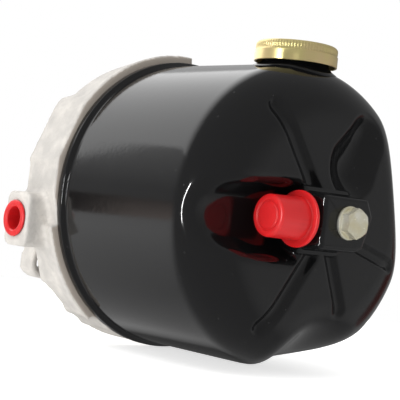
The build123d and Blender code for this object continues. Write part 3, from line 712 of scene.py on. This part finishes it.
    def place(self, points: np.ndarray) -> np.ndarray:
        """Turn rows of x, depth, z into metres in the part's frame."""
        out = points.copy()
        out[:, 1] = self.rim_y - points[:, 1]
        return out * MM

    def skin(self) -> bpy.types.Object:
        """Build the drawn can with its wall and skirt; Filler.open_hole opens the filler hole later."""
        bm = bmesh.new()
        bmesh.ops.create_grid(bm, x_segments=self.grid, y_segments=self.grid, size=1.0)
        bm.verts.ensure_lookup_table()
        grid = np.array([vert.co[:2] for vert in bm.verts])
        moved(bm.verts, self.end_points(grid))
        self.relax(bm)
        edge = [e for e in bm.edges if e.is_boundary]
        wall_top = self.length - self.knuckle
        rows = [(self.radius, wall_top - 3.6 * k) for k in range(1, 23)]
        rows += [(self.radius, 5.4), (self.radius + 0.3, 4.8), (self.skirt_r - 0.3, 4.2), (self.skirt_r, 3.6)]
        rows += [(self.skirt_r, 0.5), (self.skirt_r - 0.5, 0.0)]
        for radial, depth in rows:
            edge = self.next_row(bm, edge, radial, depth)
        everything = self.place(np.array([vert.co[:] for vert in bm.verts]))
        moved(bm.verts, everything)
        bmesh.ops.recalc_face_normals(bm, faces=bm.faces)
        piece = finished(bm, "can_skin", Slot.ENAMEL, self.body)
        solid = piece.modifiers.new("Wall", "SOLIDIFY")
        solid.thickness = self.wall * MM
        solid.offset = -1.0
        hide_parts("reservoir_can")
        return piece

    def relax(self, bm: bmesh.types.BMesh) -> None:
        """Even the grid out over the steep pressed walls without leaving the surface."""
        inner = [vert for vert in bm.verts if not vert.is_boundary]
        for _ in range(3):
            even_out(bm, inner)
            places = self.settle(np.array([vert.co[:] for vert in inner]))
            moved(inner, places)

    def next_row(self, bm: bmesh.types.BMesh, edge: list, radial: float, depth: float) -> list:
        """Draw the open edge down to the next row of the wall and return the new edge."""
        made = bmesh.ops.extrude_edge_only(bm, edges=edge)["geom"]
        fresh = [item for item in made if isinstance(item, bmesh.types.BMVert)]
        angles = [math.atan2(vert.co.z, vert.co.x) for vert in fresh]
        row = np.array([(radial * math.cos(a), depth, radial * math.sin(a)) for a in angles])
        if depth > 8.0:
            outward = np.stack([row[:, 0] / radial, np.zeros(len(row)), row[:, 2] / radial], axis=1)
            row = self.sink(row, outward)
        moved(fresh, row)
        return [item for item in made if isinstance(item, bmesh.types.BMEdge)]

    def pad(self) -> bpy.types.Object:
        """Build the raised pad as stacked rounded outlines."""
        levels = [(-15.0, 0.0), (-1.0, 3.4), (0.15, 2.4), (0.6, 1.4), (1.4, 0.6), (2.6, 0.15)]
        tall = self.pad_height
        levels += [(tall - 2.0, -0.3), (tall - 1.1, -0.6), (tall - 0.35, -1.2), (tall, -2.1)]
        bm = bmesh.new()
        loops = [self.pad_loop(bm, rise, grow) for rise, grow in levels]
        for lower, upper in zip(loops, loops[1:]):
            bmesh.ops.bridge_loops(bm, edges=lower + upper)
        top = bmesh.ops.edgeloop_fill(bm, edges=loops[-1])["faces"]
        bmesh.ops.inset_region(bm, faces=top, thickness=0.6 * MM)
        bmesh.ops.edgeloop_fill(bm, edges=loops[0])
        bmesh.ops.recalc_face_normals(bm, faces=bm.faces)
        return finished(bm, "can_pad", Slot.ENAMEL, self.body)

    def pad_loop(self, bm: bmesh.types.BMesh, rise: float, grow: float) -> list[bmesh.types.BMEdge]:
        """Draw one rounded outline of the pad.

        Args:
            bm: Mesh to draw in.
            rise: Height above the closed end.
            grow: Offset outwards from the pad's outline.

        Returns:
            The loop's edges in order.
        """
        corner_r, steps = 2.4, 6
        corners = [Vector(point) for point in self.pad_outline]
        count = len(corners)
        shifted = []
        for index, here in enumerate(corners):
            back = (here - corners[index - 1]).normalized()
            ahead = (corners[(index + 1) % count] - here).normalized()
            out = Vector((-back.y, back.x)) + Vector((-ahead.y, ahead.x))
            shifted.append(here + out * (grow / (out.length_squared / 2)))
        verts = []
        for index, here in enumerate(shifted):
            before = (shifted[index - 1] - here).normalized()
            after = (shifted[(index + 1) % count] - here).normalized()
            reach = max(corner_r + grow, 0.5) / math.tan(before.angle(after) / 2)
            start, end = here + before * reach, here + after * reach
            for step in range(steps + 1):
                t = step / steps
                spot = start * (1 - t) ** 2 + here * 2 * t * (1 - t) + end * t**2
                x = max(spot.x, self.pad_outline[0][0] - 0.2)
                verts.append(bm.verts.new((x * MM, (self.rim_y - self.length - rise) * MM, spot.y * MM)))
        return [bm.edges.new((verts[i], verts[(i + 1) % len(verts)])) for i in range(len(verts))]


# ------------------------------------------------------------------ filler neck and cap


@dataclass
class Filler:
    """Neck brazed on the can, and the knurled cap over it."""

    can: PressedCan
    body: str
    shell_body: str
    foot_reach: float = 4.4 * MM
    ribs: int = 84
    knurl_depth: float = 0.20 * MM
    dimple_angles: tuple[float, ...] = (-140.0, 40.0)

    def __post_init__(self) -> None:
        """Read the neck's and cap's places from the frame."""
        self.neck_low, self.neck_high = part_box("filler_neck")
        self.low, self.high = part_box("filler_cap_shell")
        self.centre = (self.low + self.high) / 2
        self.radius = (self.high.x - self.low.x) / 2

    def neck(self) -> bpy.types.Object:
        """Build the neck with a rolled lip and a foot that follows the can."""
        lip_r = (self.neck_high.x - self.neck_low.x) / 2
        outer = lip_r - 1.5 * MM
        inner = outer - 2.0 * MM
        top = self.neck_high.z
        sunk = self.neck_low.z
        corners = [
            (inner, sunk, 0), (inner, top, 0.5 * MM), (lip_r, top, 0.7 * MM),
            (lip_r, top - 1.8 * MM, 0.6 * MM), (outer, top - 2.4 * MM, 0.5 * MM),
            (outer, top - 5.0 * MM, 2.0 * MM), (outer + self.foot_reach, top - 5.3 * MM, 0),
            (outer + self.foot_reach, sunk + 1.0 * MM, 0),
        ]
        bm = lathe(rounded_profile(corners, 5), 96)
        turned_to(bm, Vector((self.centre.x, self.centre.y, 0)), Vector((0, 0, 1)))
        for vert in bm.verts:
            from_wall = (vert.co.xy - self.centre.xy).length - outer
            if from_wall <= 0.3 * MM or vert.co.z >= top - 3 * MM:
                continue
            reach = from_wall / self.foot_reach
            ground = self.ground(vert.co)
            lift = 2.2 * MM * (1 - min(reach, 1.0)) ** 2 + 0.15 * MM
            vert.co.z = ground + (lift if vert.co.z > sunk + 1.5 * MM else -2.0 * MM)
        piece = finished(bm, "filler_neck_brazed", Slot.ENAMEL, self.body)
        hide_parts("filler_neck")
        return piece

    def open_hole(self, skin: bpy.types.Object) -> None:
        """Open the can's skin under the neck."""
        hole_r = (self.neck_high.x - self.neck_low.x) / 2 - 3.0 * MM
        bm = bmesh.new()
        bm.from_mesh(skin.data)
        inside = [v for v in bm.verts if v.co.z > 0 and (v.co.xy - self.centre.xy).length < hole_r]
        bmesh.ops.delete(bm, geom=inside, context="VERTS")
        for vert in bm.verts:
            arm = vert.co.xy - self.centre.xy
            if vert.is_boundary and vert.co.z > 0 and arm.length < hole_r + 6 * MM:
                vert.co.xy = self.centre.xy + arm.normalized() * hole_r
                vert.co.z = self.ground(vert.co)
        bm.to_mesh(skin.data)
        bm.free()

    def ground(self, spot: Vector) -> float:
        """Height of the can's top under a point."""
        x, depth = spot.x / MM, self.can.rim_y - spot.y / MM
        start = np.array([[x, depth, math.sqrt(max(self.can.radius**2 - x * x, 1.0))]])
        return float(self.can.sink(start, np.array([[0.0, 0.0, 1.0]]))[0, 2]) * MM

    def shell(self) -> bpy.types.Object:
        """Build the cap: knurled upper band, smooth skirt with two pressed dimples."""
        r, low, high = self.radius, self.low.z, self.high.z
        band = low + 5.5 * MM
        corners = [
            (0.0026, high - 0.9 * MM, 0), (0.0026, high, 0.0), (r - 5.5 * MM, high, 0.4 * MM),
            (r - 4.9 * MM, high - 0.25 * MM, 0.4 * MM), (r - 0.5 * MM, high - 0.2 * MM, 2.2 * MM),
            (r - 0.5 * MM, band + 0.25 * MM, 0), (r, band - 0.15 * MM, 0.25 * MM),
            (r, low, 0.35 * MM), (r - 0.9 * MM, low, 0.3 * MM), (r - 0.9 * MM, high - 2.4 * MM, 0.9 * MM),
            (0.0026, high - 1.2 * MM, 0),
        ]
        profile = rounded_profile(corners, 5)
        rows = [(r - 0.5 * MM, band + 0.25 * MM + k * 0.8 * MM) for k in (1, 2, 3)]
        rows += [(r, band - k * 0.9 * MM) for k in (1, 2, 3, 4, 5)]
        profile = self.with_rows(profile, rows)
        bm = lathe(profile, self.ribs * 4)
        for vert in bm.verts:
            self.press(vert, band, high)
        turned_to(bm, Vector((self.centre.x, self.centre.y, 0)), Vector((0, 0, 1)))
        bmesh.ops.recalc_face_normals(bm, faces=bm.faces)
        piece = finished(bm, "filler_cap_knurled", Slot.GOLD_ZINC, self.shell_body)
        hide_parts("filler_cap_shell")
        return piece

    @staticmethod
    def with_rows(profile: Outline, rows: Outline) -> Outline:
        """Insert extra points into a profile on the straight that holds each."""
        for row in rows:
            best, gap = 1, 1e9
            for index in range(1, len(profile)):
                a, b, c = Vector(profile[index - 1]), Vector(profile[index]), Vector(row)
                excess = (c - a).length + (b - c).length - (b - a).length
                if excess < gap:
                    best, gap = index, excess
            profile.insert(best, row)
        return profile

    def press(self, vert: bmesh.types.BMVert, band: float, high: float) -> None:
        """Knurl the upper band and press the dimples of the skirt."""
        radial = vert.co.xy.length
        if radial < self.radius - 2.2 * MM:
            return
        angle = math.atan2(vert.co.y, vert.co.x)
        if vert.co.z > band + 0.4 * MM and radial > self.radius - 0.8 * MM:
            fade = min((high - vert.co.z) / (1.6 * MM), 1.0)
            radial += self.knurl_depth * fade * math.cos(self.ribs * angle)
        elif vert.co.z < band - 0.5 * MM:
            for middle in self.dimple_angles:
                off = math.remainder(angle - math.radians(middle), math.tau) * self.radius
                across = max(0.0, 1.0 - (off / (4.6 * MM)) ** 2)
                tall = 1.0 if vert.co.z < band - 2.0 * MM else 0.55
                radial -= 0.7 * MM * across**2 * tall
        vert.co.xy = vert.co.xy.normalized() * radial


# ------------------------------------------------------------------ transport caps, bolt and casting


@dataclass
class ReturnCap:
    """Soft red cap pushed over the return stub."""

    body: str
    flange_thick: float = 1.8 * MM
    bore_r: float = 8.05 * MM
    end_wall: float = 2.2 * MM

    def build(self) -> bpy.types.Object:
        """Spin the flange, tapered tube and dished end."""
        low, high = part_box("return_cap")
        flange_r = (high.z - low.z) / 2
        tall = high.x - low.x
        tube_r = flange_r - 3.5 * MM
        t = self.flange_thick
        corners = [
            (self.bore_r, 0, 0), (flange_r, 0, 0.5 * MM), (flange_r, t, 0.6 * MM),
            (tube_r + 0.25 * MM, t, 0.7 * MM),
            (tube_r, tall, 1.6 * MM), (7.3 * MM, tall, 0.3 * MM), (7.0 * MM, tall - 0.45 * MM, 0.3 * MM),
            (6.2 * MM, tall - 0.45 * MM, 0.3 * MM), (5.9 * MM, tall - 0.1 * MM, 0.3 * MM),
            (0, tall - 0.1 * MM, 0),
            (0, tall - self.end_wall, 0), (self.bore_r, tall - self.end_wall, 0.6 * MM),
        ]
        bm = lathe(rounded_profile(corners, 5), 128)
        turned_to(bm, Vector((high.x, (low.y + high.y) / 2, (low.z + high.z) / 2)), Vector((-1, 0, 0)))
        piece = finished(bm, "return_cap_moulded", Slot.RED, self.body)
        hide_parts("return_cap")
        return piece


@dataclass
class OutletPlug:
    """Hollow red plug pressed into the pressure port."""

    body: str
    bore_r: float = 5.9 * MM
    floor: float = 1.6 * MM
    flange_thick: float = 1.2 * MM

    def build(self) -> bpy.types.Object:
        """Spin the flange, the tapered skirt and the closed inner end."""
        low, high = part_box("outlet_plug")
        flange_r = (high.z - low.z) / 2
        tall = high.x - low.x
        skirt_r = flange_r - 1.25 * MM
        seat = tall - self.flange_thick
        corners = [
            (0, 0, 0), (skirt_r - 0.5 * MM, 0, 1.0 * MM), (skirt_r, seat, 0), (flange_r, seat, 0.3 * MM),
            (flange_r, tall, 0.7 * MM), (self.bore_r + 0.7 * MM, tall, 0.5 * MM),
            (self.bore_r, tall - 0.7 * MM, 0.6 * MM), (self.bore_r - 0.4 * MM, self.floor, 0.6 * MM),
            (0, self.floor, 0),
        ]
        bm = lathe(rounded_profile(corners, 5), 112)
        turned_to(bm, Vector((high.x, (low.y + high.y) / 2, (low.z + high.z) / 2)), Vector((-1, 0, 0)))
        piece = finished(bm, "outlet_plug_moulded", Slot.RED, self.body)
        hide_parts("outlet_plug")
        return piece


@dataclass
class CentreBolt:
    """Hexagon bolt and plain washer that hold the can on."""

    body: str
    across_flats: float = 13.0 * MM
    head: float = 5.3 * MM
    chamfer_r: float = 6.0 * MM
    shank_r: float = 3.95 * MM
    washer_bore_r: float = 4.3 * MM
    crispness: float = 48.0

    def hexagon(self, angle: float) -> float:
        """Radius of the softly rounded hexagon at an angle."""
        total = 0.0
        for side in range(6):
            facing = math.cos(angle - side * math.pi / 3)
            total += max(facing / (self.across_flats / 2), 0.0) ** self.crispness
        return total ** (-1.0 / self.crispness)

    def build(self) -> list[bpy.types.Object]:
        """Build the bolt and its washer."""
        low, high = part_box("reservoir_bolt")
        reach = high.y - low.y
        r = self.across_flats / 2
        corners = [
            (0, 0, 0), (self.shank_r - 0.5 * MM, 0, 0), (self.shank_r, 0.8 * MM, 0.2 * MM),
            (self.shank_r, reach - self.head, 0), (r, reach - self.head, 0.1 * MM),
            (r, reach - self.head * 0.6, 0), (r, reach - self.head * 0.3, 0), (r, reach - 0.9 * MM, 0),
            (r, reach - 0.2 * MM, 0), (self.chamfer_r, reach, 0), (self.chamfer_r - 0.5 * MM, reach, 0),
            (0, reach, 0),
        ]
        bm = lathe(rounded_profile(corners, 3), 144)
        for vert in bm.verts:
            self.shape_head(vert, reach)
        turned_to(bm, Vector(((low.x + high.x) / 2, high.y, (low.z + high.z) / 2)), Vector((0, -1, 0)))
        bolt = finished(bm, "reservoir_bolt_forged", Slot.PALE_ZINC, self.body, crease=18.0)
        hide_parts("reservoir_bolt")
        return [bolt, self.washer()]

    def shape_head(self, vert: bmesh.types.BMVert, reach: float) -> None:
        """Push a round head point out to the hexagon and down its chamfer."""
        radial = vert.co.xy.length
        if vert.co.z < reach - self.head - 1e-6 or radial < self.chamfer_r + 0.05 * MM:
            return
        wide = self.hexagon(math.atan2(vert.co.y, vert.co.x))
        top = reach - max(wide - self.chamfer_r, 0.0) * 0.55
        vert.co.xy = vert.co.xy.normalized() * wide
        vert.co.z = min(vert.co.z, top)

    def washer(self) -> bpy.types.Object:
        """Spin a washer with rolled edges."""
        low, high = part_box("bolt_washer")
        outer, tall = (high.x - low.x) / 2, high.y - low.y
        bore = self.washer_bore_r
        corners = [(bore, 0, 0), (outer, 0, 0.3 * MM), (outer, tall, 0.5 * MM), (bore, tall, 0.3 * MM)]
        bm = lathe(rounded_profile(corners, 4), 96)
        turned_to(bm, Vector(((low.x + high.x) / 2, high.y, (low.z + high.z) / 2)), Vector((0, -1, 0)))
        piece = finished(bm, "bolt_washer_pressed", Slot.PALE_ZINC, self.body)
        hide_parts("bolt_washer")
        return piece


@dataclass
class Casting:
    """Sand-cast pump body, taken from the frame and given its cast edges."""

    body: str
    cell: float = 1.15 * MM
    softening: int = 3
    machined_front: float = 9.2 * MM
    machined_back: float = 7.5 * MM
    parting_z: float = 15.5 * MM

    def build(self) -> bpy.types.Object:
        """Copy the casting, close its seams, round it and roughen it."""
        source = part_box("pump_casting")
        node = bpy.data.objects["pump_casting"]
        bm = bmesh.new()
        bm.from_mesh(node.data)
        bmesh.ops.remove_doubles(bm, verts=bm.verts, dist=1e-6)
        mesh = bpy.data.meshes.new("casting_rough")
        bm.to_mesh(mesh)
        bm.free()
        rough = bpy.data.objects.new("casting_rough", mesh)
        bpy.context.scene.collection.objects.link(rough)
        remesh = rough.modifiers.new("Cells", "REMESH")
        remesh.mode = "VOXEL"
        remesh.voxel_size = self.cell
        graph = bpy.context.evaluated_depsgraph_get()
        baked = bpy.data.meshes.new_from_object(rough.evaluated_get(graph))
        bpy.data.objects.remove(rough)
        bm = bmesh.new()
        bm.from_mesh(baked)
        front, back = source[0].y, source[1].y
        soft = [v for v in bm.verts if front + self.machined_front < v.co.y < back - self.machined_back]
        for _ in range(self.softening):
            even_out(bm, soft)
        self.parting_line(soft)
        finish = CastMetal(
            "Sand-cast aluminium", (0.60, 0.57, 0.53), 0.66, 0.15, dark=(0.45, 0.43, 0.405),
            faces_y=(-42.0 * MM, 0.0, back), machined=(0.40, 0.355, 0.31),
        )
        piece = finished(bm, "pump_casting_sand", Slot.CASTING, self.body, finish)
        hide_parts("pump_casting")
        return piece

    def parting_line(self, verts: Iterable[bmesh.types.BMVert]) -> None:
        """Raise the fettled parting line as a low ridge on the side where X is not positive."""
        for vert in verts:
            radial = math.hypot(vert.co.x, vert.co.z)
            if radial < 74 * MM or vert.co.x > 0:
                continue
            off = (vert.co.z - self.parting_z) / (1.6 * MM)
            lift = 0.7 * MM * math.exp(-off * off)
            grow = 1.0 + lift / radial
            vert.co.x *= grow


# ------------------------------------------------------------------ carried nodes, light and camera


@dataclass
class Dressing:
    """Finishes for the frame's own nodes that stay in view."""

    frame: dict
    plain_casting: CastMetal = CastMetal("Cast aluminium", (0.56, 0.53, 0.50), 0.6, 0.3)

    def dress(self) -> int:
        """Give every shown node the finish of its slot.

        Returns:
            How many nodes were dressed.
        """
        named = {slot.value: slot for slot in Slot}
        count = 0
        for part in self.frame["record"]["subparts"]:
            node = self.frame["nodes"][part["node"]]
            slot = named[part["material_slot"]]
            made = (FINISHES.get(slot) or self.plain_casting).material()
            if not node.material_slots:
                node.data.materials.append(made)
            for place in node.material_slots:
                place.material = made
            count += not node.hide_render
        return count


@dataclass
class Studio:
    """White table in a light tent, with the room dark behind the viewer."""

    table_r: float = 0.46
    tent_light: float = 1.95
    wall_light: float = 0.36
    floor_light: float = 0.44
    near_floor_light: float = 1.0
    shadow_light: float = 0.08
    tent_tilt: float = 4.7
    tilt_from: float = 0.786
    slot_light: float = 0.02
    room_light: float = 0.27
    glow_light: float = 0.40
    red_light: float = 0.15
    red_aim: tuple[float, float, float] = (0.975, -0.05, -0.17)
    glow_aim: tuple[float, float, float] = (0.654, -0.756, 0.013)
    soft_fill: float = 0.66
    strip_power: float = 3.4
    overhead_power: float = 6.5

    def build(self) -> None:
        """Set up the world, the table and the lights."""
        bpy.context.scene.view_settings.view_transform = "Standard"
        self.world()
        self.table()
        self.strip()

    def world(self) -> None:
        """Wire the tent: white to the eye, shaped for reflections, even for fill."""
        world = bpy.data.worlds.new("Light tent")
        bpy.context.scene.world = world
        world.use_nodes = True
        wires = Wiring(world.node_tree)
        direction = wires.add("TexCoord").outputs["Generated"]
        x, y, z = wires.add("SeparateXYZ", {0: direction}).outputs
        behind = wires.ramp(y, 0.50, 0.68)
        shift = wires.math("MAXIMUM", wires.math("SUBTRACT", y, self.tilt_from), 0.0)
        above = wires.ramp(wires.math("MULTIPLY_ADD", shift, self.tent_tilt, z), 0.435, 0.462)
        wall = wires.math("MULTIPLY_ADD", wires.ramp(z, 0.12, 0.45), 0.4, self.wall_light)
        below = wires.ramp(z, 0.02, -0.16)
        near = wires.ramp(z, -0.62, -0.25)
        floor = wires.math("MULTIPLY_ADD", near, self.near_floor_light - self.floor_light, self.floor_light)
        under = wires.math("MULTIPLY", wires.ramp(x, 0.35, 0.48), wires.ramp(z, 0.0, -0.12))
        floor = self.mix(wires, under, floor, self.shadow_light)
        lit = self.mix(wires, below, self.mix(wires, above, wall, self.tent_light), floor)
        slot = wires.math("MULTIPLY", wires.ramp(z, -0.15, -0.13), wires.ramp(z, 0.03, 0.01))
        dark = wires.math("MULTIPLY", slot, wires.ramp(y, 0.795, 0.81))
        lit = self.mix(wires, dark, lit, self.slot_light)
        aim = self.towards(wires, direction, self.glow_aim)
        glow = wires.math("MULTIPLY_ADD", z, -0.25, self.glow_light)
        room = self.mix(wires, wires.ramp(aim, 0.72, 0.97), self.room_light, glow)
        side = self.towards(wires, direction, self.red_aim)
        red = wires.ramp(side, 0.955, 0.99)
        shaped = self.mix(wires, behind, self.mix(wires, red, room, self.red_light), lit)
        rays = wires.add("LightPath")
        fill = wires.math("MULTIPLY_ADD", z, 0.25, self.soft_fill)
        seen = wires.add("Mix", {0: rays.outputs["Is Glossy Ray"]})
        for index, value in ((2, fill), (3, shaped)):
            wires.tree.links.new(value, seen.inputs[index])
        final = wires.add("Mix", {0: rays.outputs["Is Camera Ray"], 3: 1.0})
        wires.tree.links.new(seen.outputs[0], final.inputs[2])
        sky = world.node_tree.nodes["Background"]
        wires.tree.links.new(final.outputs[0], sky.inputs["Strength"])
        warm = wires.math("MULTIPLY", red, rays.outputs["Is Glossy Ray"])
        far_slot = wires.math("MULTIPLY", slot, behind)
        brown = wires.math("MULTIPLY", far_slot, rays.outputs["Is Glossy Ray"])
        tinted = wires.tint(brown, (1.0, 1.0, 1.0), (1.0, 0.84, 0.76))
        wires.tree.links.new(wires.tint(warm, tinted, (1.0, 0.30, 0.26)), sky.inputs["Color"])

    @staticmethod
    def towards(wires: Wiring, direction: bpy.types.NodeSocket, aim: Colour) -> bpy.types.NodeSocket:
        """Measure how nearly a direction points along an aim, 1 when it does."""
        return wires.add("VectorMath", {0: direction, 1: aim}, operation="DOT_PRODUCT").outputs["Value"]

    @staticmethod
    def mix(wires: Wiring, factor: object, first: object, second: object) -> bpy.types.NodeSocket:
        """Blend two strengths by a factor."""
        node = wires.add("Mix", {0: factor, 2: first, 3: second})
        return node.outputs[0]

    def table(self) -> None:
        """Lay the pale table under the lowest point."""
        low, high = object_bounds()
        bm = bmesh.new()
        bmesh.ops.create_circle(bm, cap_ends=True, segments=128, radius=self.table_r)
        centre = Vector(((low[0] + high[0]) / 2, (low[1] + high[1]) / 2, low[2] - 0.2 * MM))
        bmesh.ops.translate(bm, vec=centre, verts=bm.verts)
        mesh = bpy.data.meshes.new("table")
        bm.to_mesh(mesh)
        bm.free()
        table = bpy.data.objects.new("table", mesh)
        bpy.context.scene.collection.objects.link(table)
        made = bpy.data.materials.new("Pale table")
        made.use_nodes = True
        shader = made.node_tree.nodes["Principled BSDF"]
        shader.inputs["Base Color"].default_value = (0.86, 0.86, 0.85, 1)
        shader.inputs["Roughness"].default_value = 0.9
        shader.inputs["Emission Color"].default_value = (1, 1, 1, 1)
        shader.inputs["Emission Strength"].default_value = 0.66
        mesh.materials.append(made)
        table.visible_glossy = False
        table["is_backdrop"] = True

    def strip(self) -> None:
        """Stand a narrow light at the left and a soft one overhead."""
        strip_at, overhead_at = Vector((-0.9, -0.10, 0.03)), Vector((-0.35, -0.1, 0.9))
        self.area("strip", strip_at, Vector((0, -0.12, 0.0)), (0.03, 0.30), self.strip_power)
        self.area("overhead", overhead_at, Vector((0, -0.05, 0)), (0.9, 0.9), self.overhead_power)

    @staticmethod
    def area(name: str, place: Vector, aim: Vector, size: tuple[float, float], power: float) -> None:
        """Hang one rectangular light."""
        lamp = bpy.data.lights.new(name, "AREA")
        lamp.shape = "RECTANGLE"
        lamp.size, lamp.size_y = size
        lamp.energy = power
        holder = bpy.data.objects.new(name, lamp)
        holder.location = place
        holder.rotation_euler = (aim - place).to_track_quat("-Z", "Y").to_euler()
        holder.visible_glossy = size[0] < 0.5
        bpy.context.scene.collection.objects.link(holder)


@dataclass
class Viewpoint:
    """Camera at the eye point, with its own roll."""

    place: Vector = field(default_factory=lambda: Vector((-0.44439, -0.57626, -0.00453)))
    right: Vector = field(default_factory=lambda: Vector((0.7503, -0.6515, 0.1119)))
    up: Vector = field(default_factory=lambda: Vector((-0.09276, 0.06377, 0.99364)))
    lens: float = 114.73

    def build(self) -> None:
        """Create the camera and make it the scene's."""
        lens = bpy.data.cameras.new("eye")
        lens.lens = self.lens
        lens.sensor_width = 36.0
        lens.clip_start = 0.01
        camera = bpy.data.objects.new("eye", lens)
        back = self.right.cross(self.up).normalized()
        up = back.cross(self.right).normalized()
        turn = Matrix((self.right.normalized(), up, back)).transposed()
        camera.matrix_world = Matrix.Translation(self.place) @ turn.to_4x4()
        bpy.context.scene.collection.objects.link(camera)
        bpy.context.scene.camera = camera


def main() -> None:
    """Build every sub-assembly on the frame, then the studio around it."""
    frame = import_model()
    can = PressedCan("pump_and_can")
    filler = Filler(can, "pump_and_can", "cap_shell")
    pieces = [can.skin(), can.pad(), filler.neck(), filler.shell()]
    filler.open_hole(pieces[0])
    pieces += [ReturnCap("return_cap_body").build(), OutletPlug("outlet_plug_body").build()]
    pieces += CentreBolt("pump_and_can").build()
    pieces.append(Casting("pump_and_can").build())
    for piece in pieces:
        LOG.info("built %s with %d faces", piece.name, len(piece.data.polygons))
    LOG.info("dressed %d carried nodes", Dressing(frame).dress())
    Studio().build()
    Viewpoint().build()


if __name__ == "__main__":
    logging.basicConfig(level=logging.INFO, format="%(name)s: %(message)s")
    main()
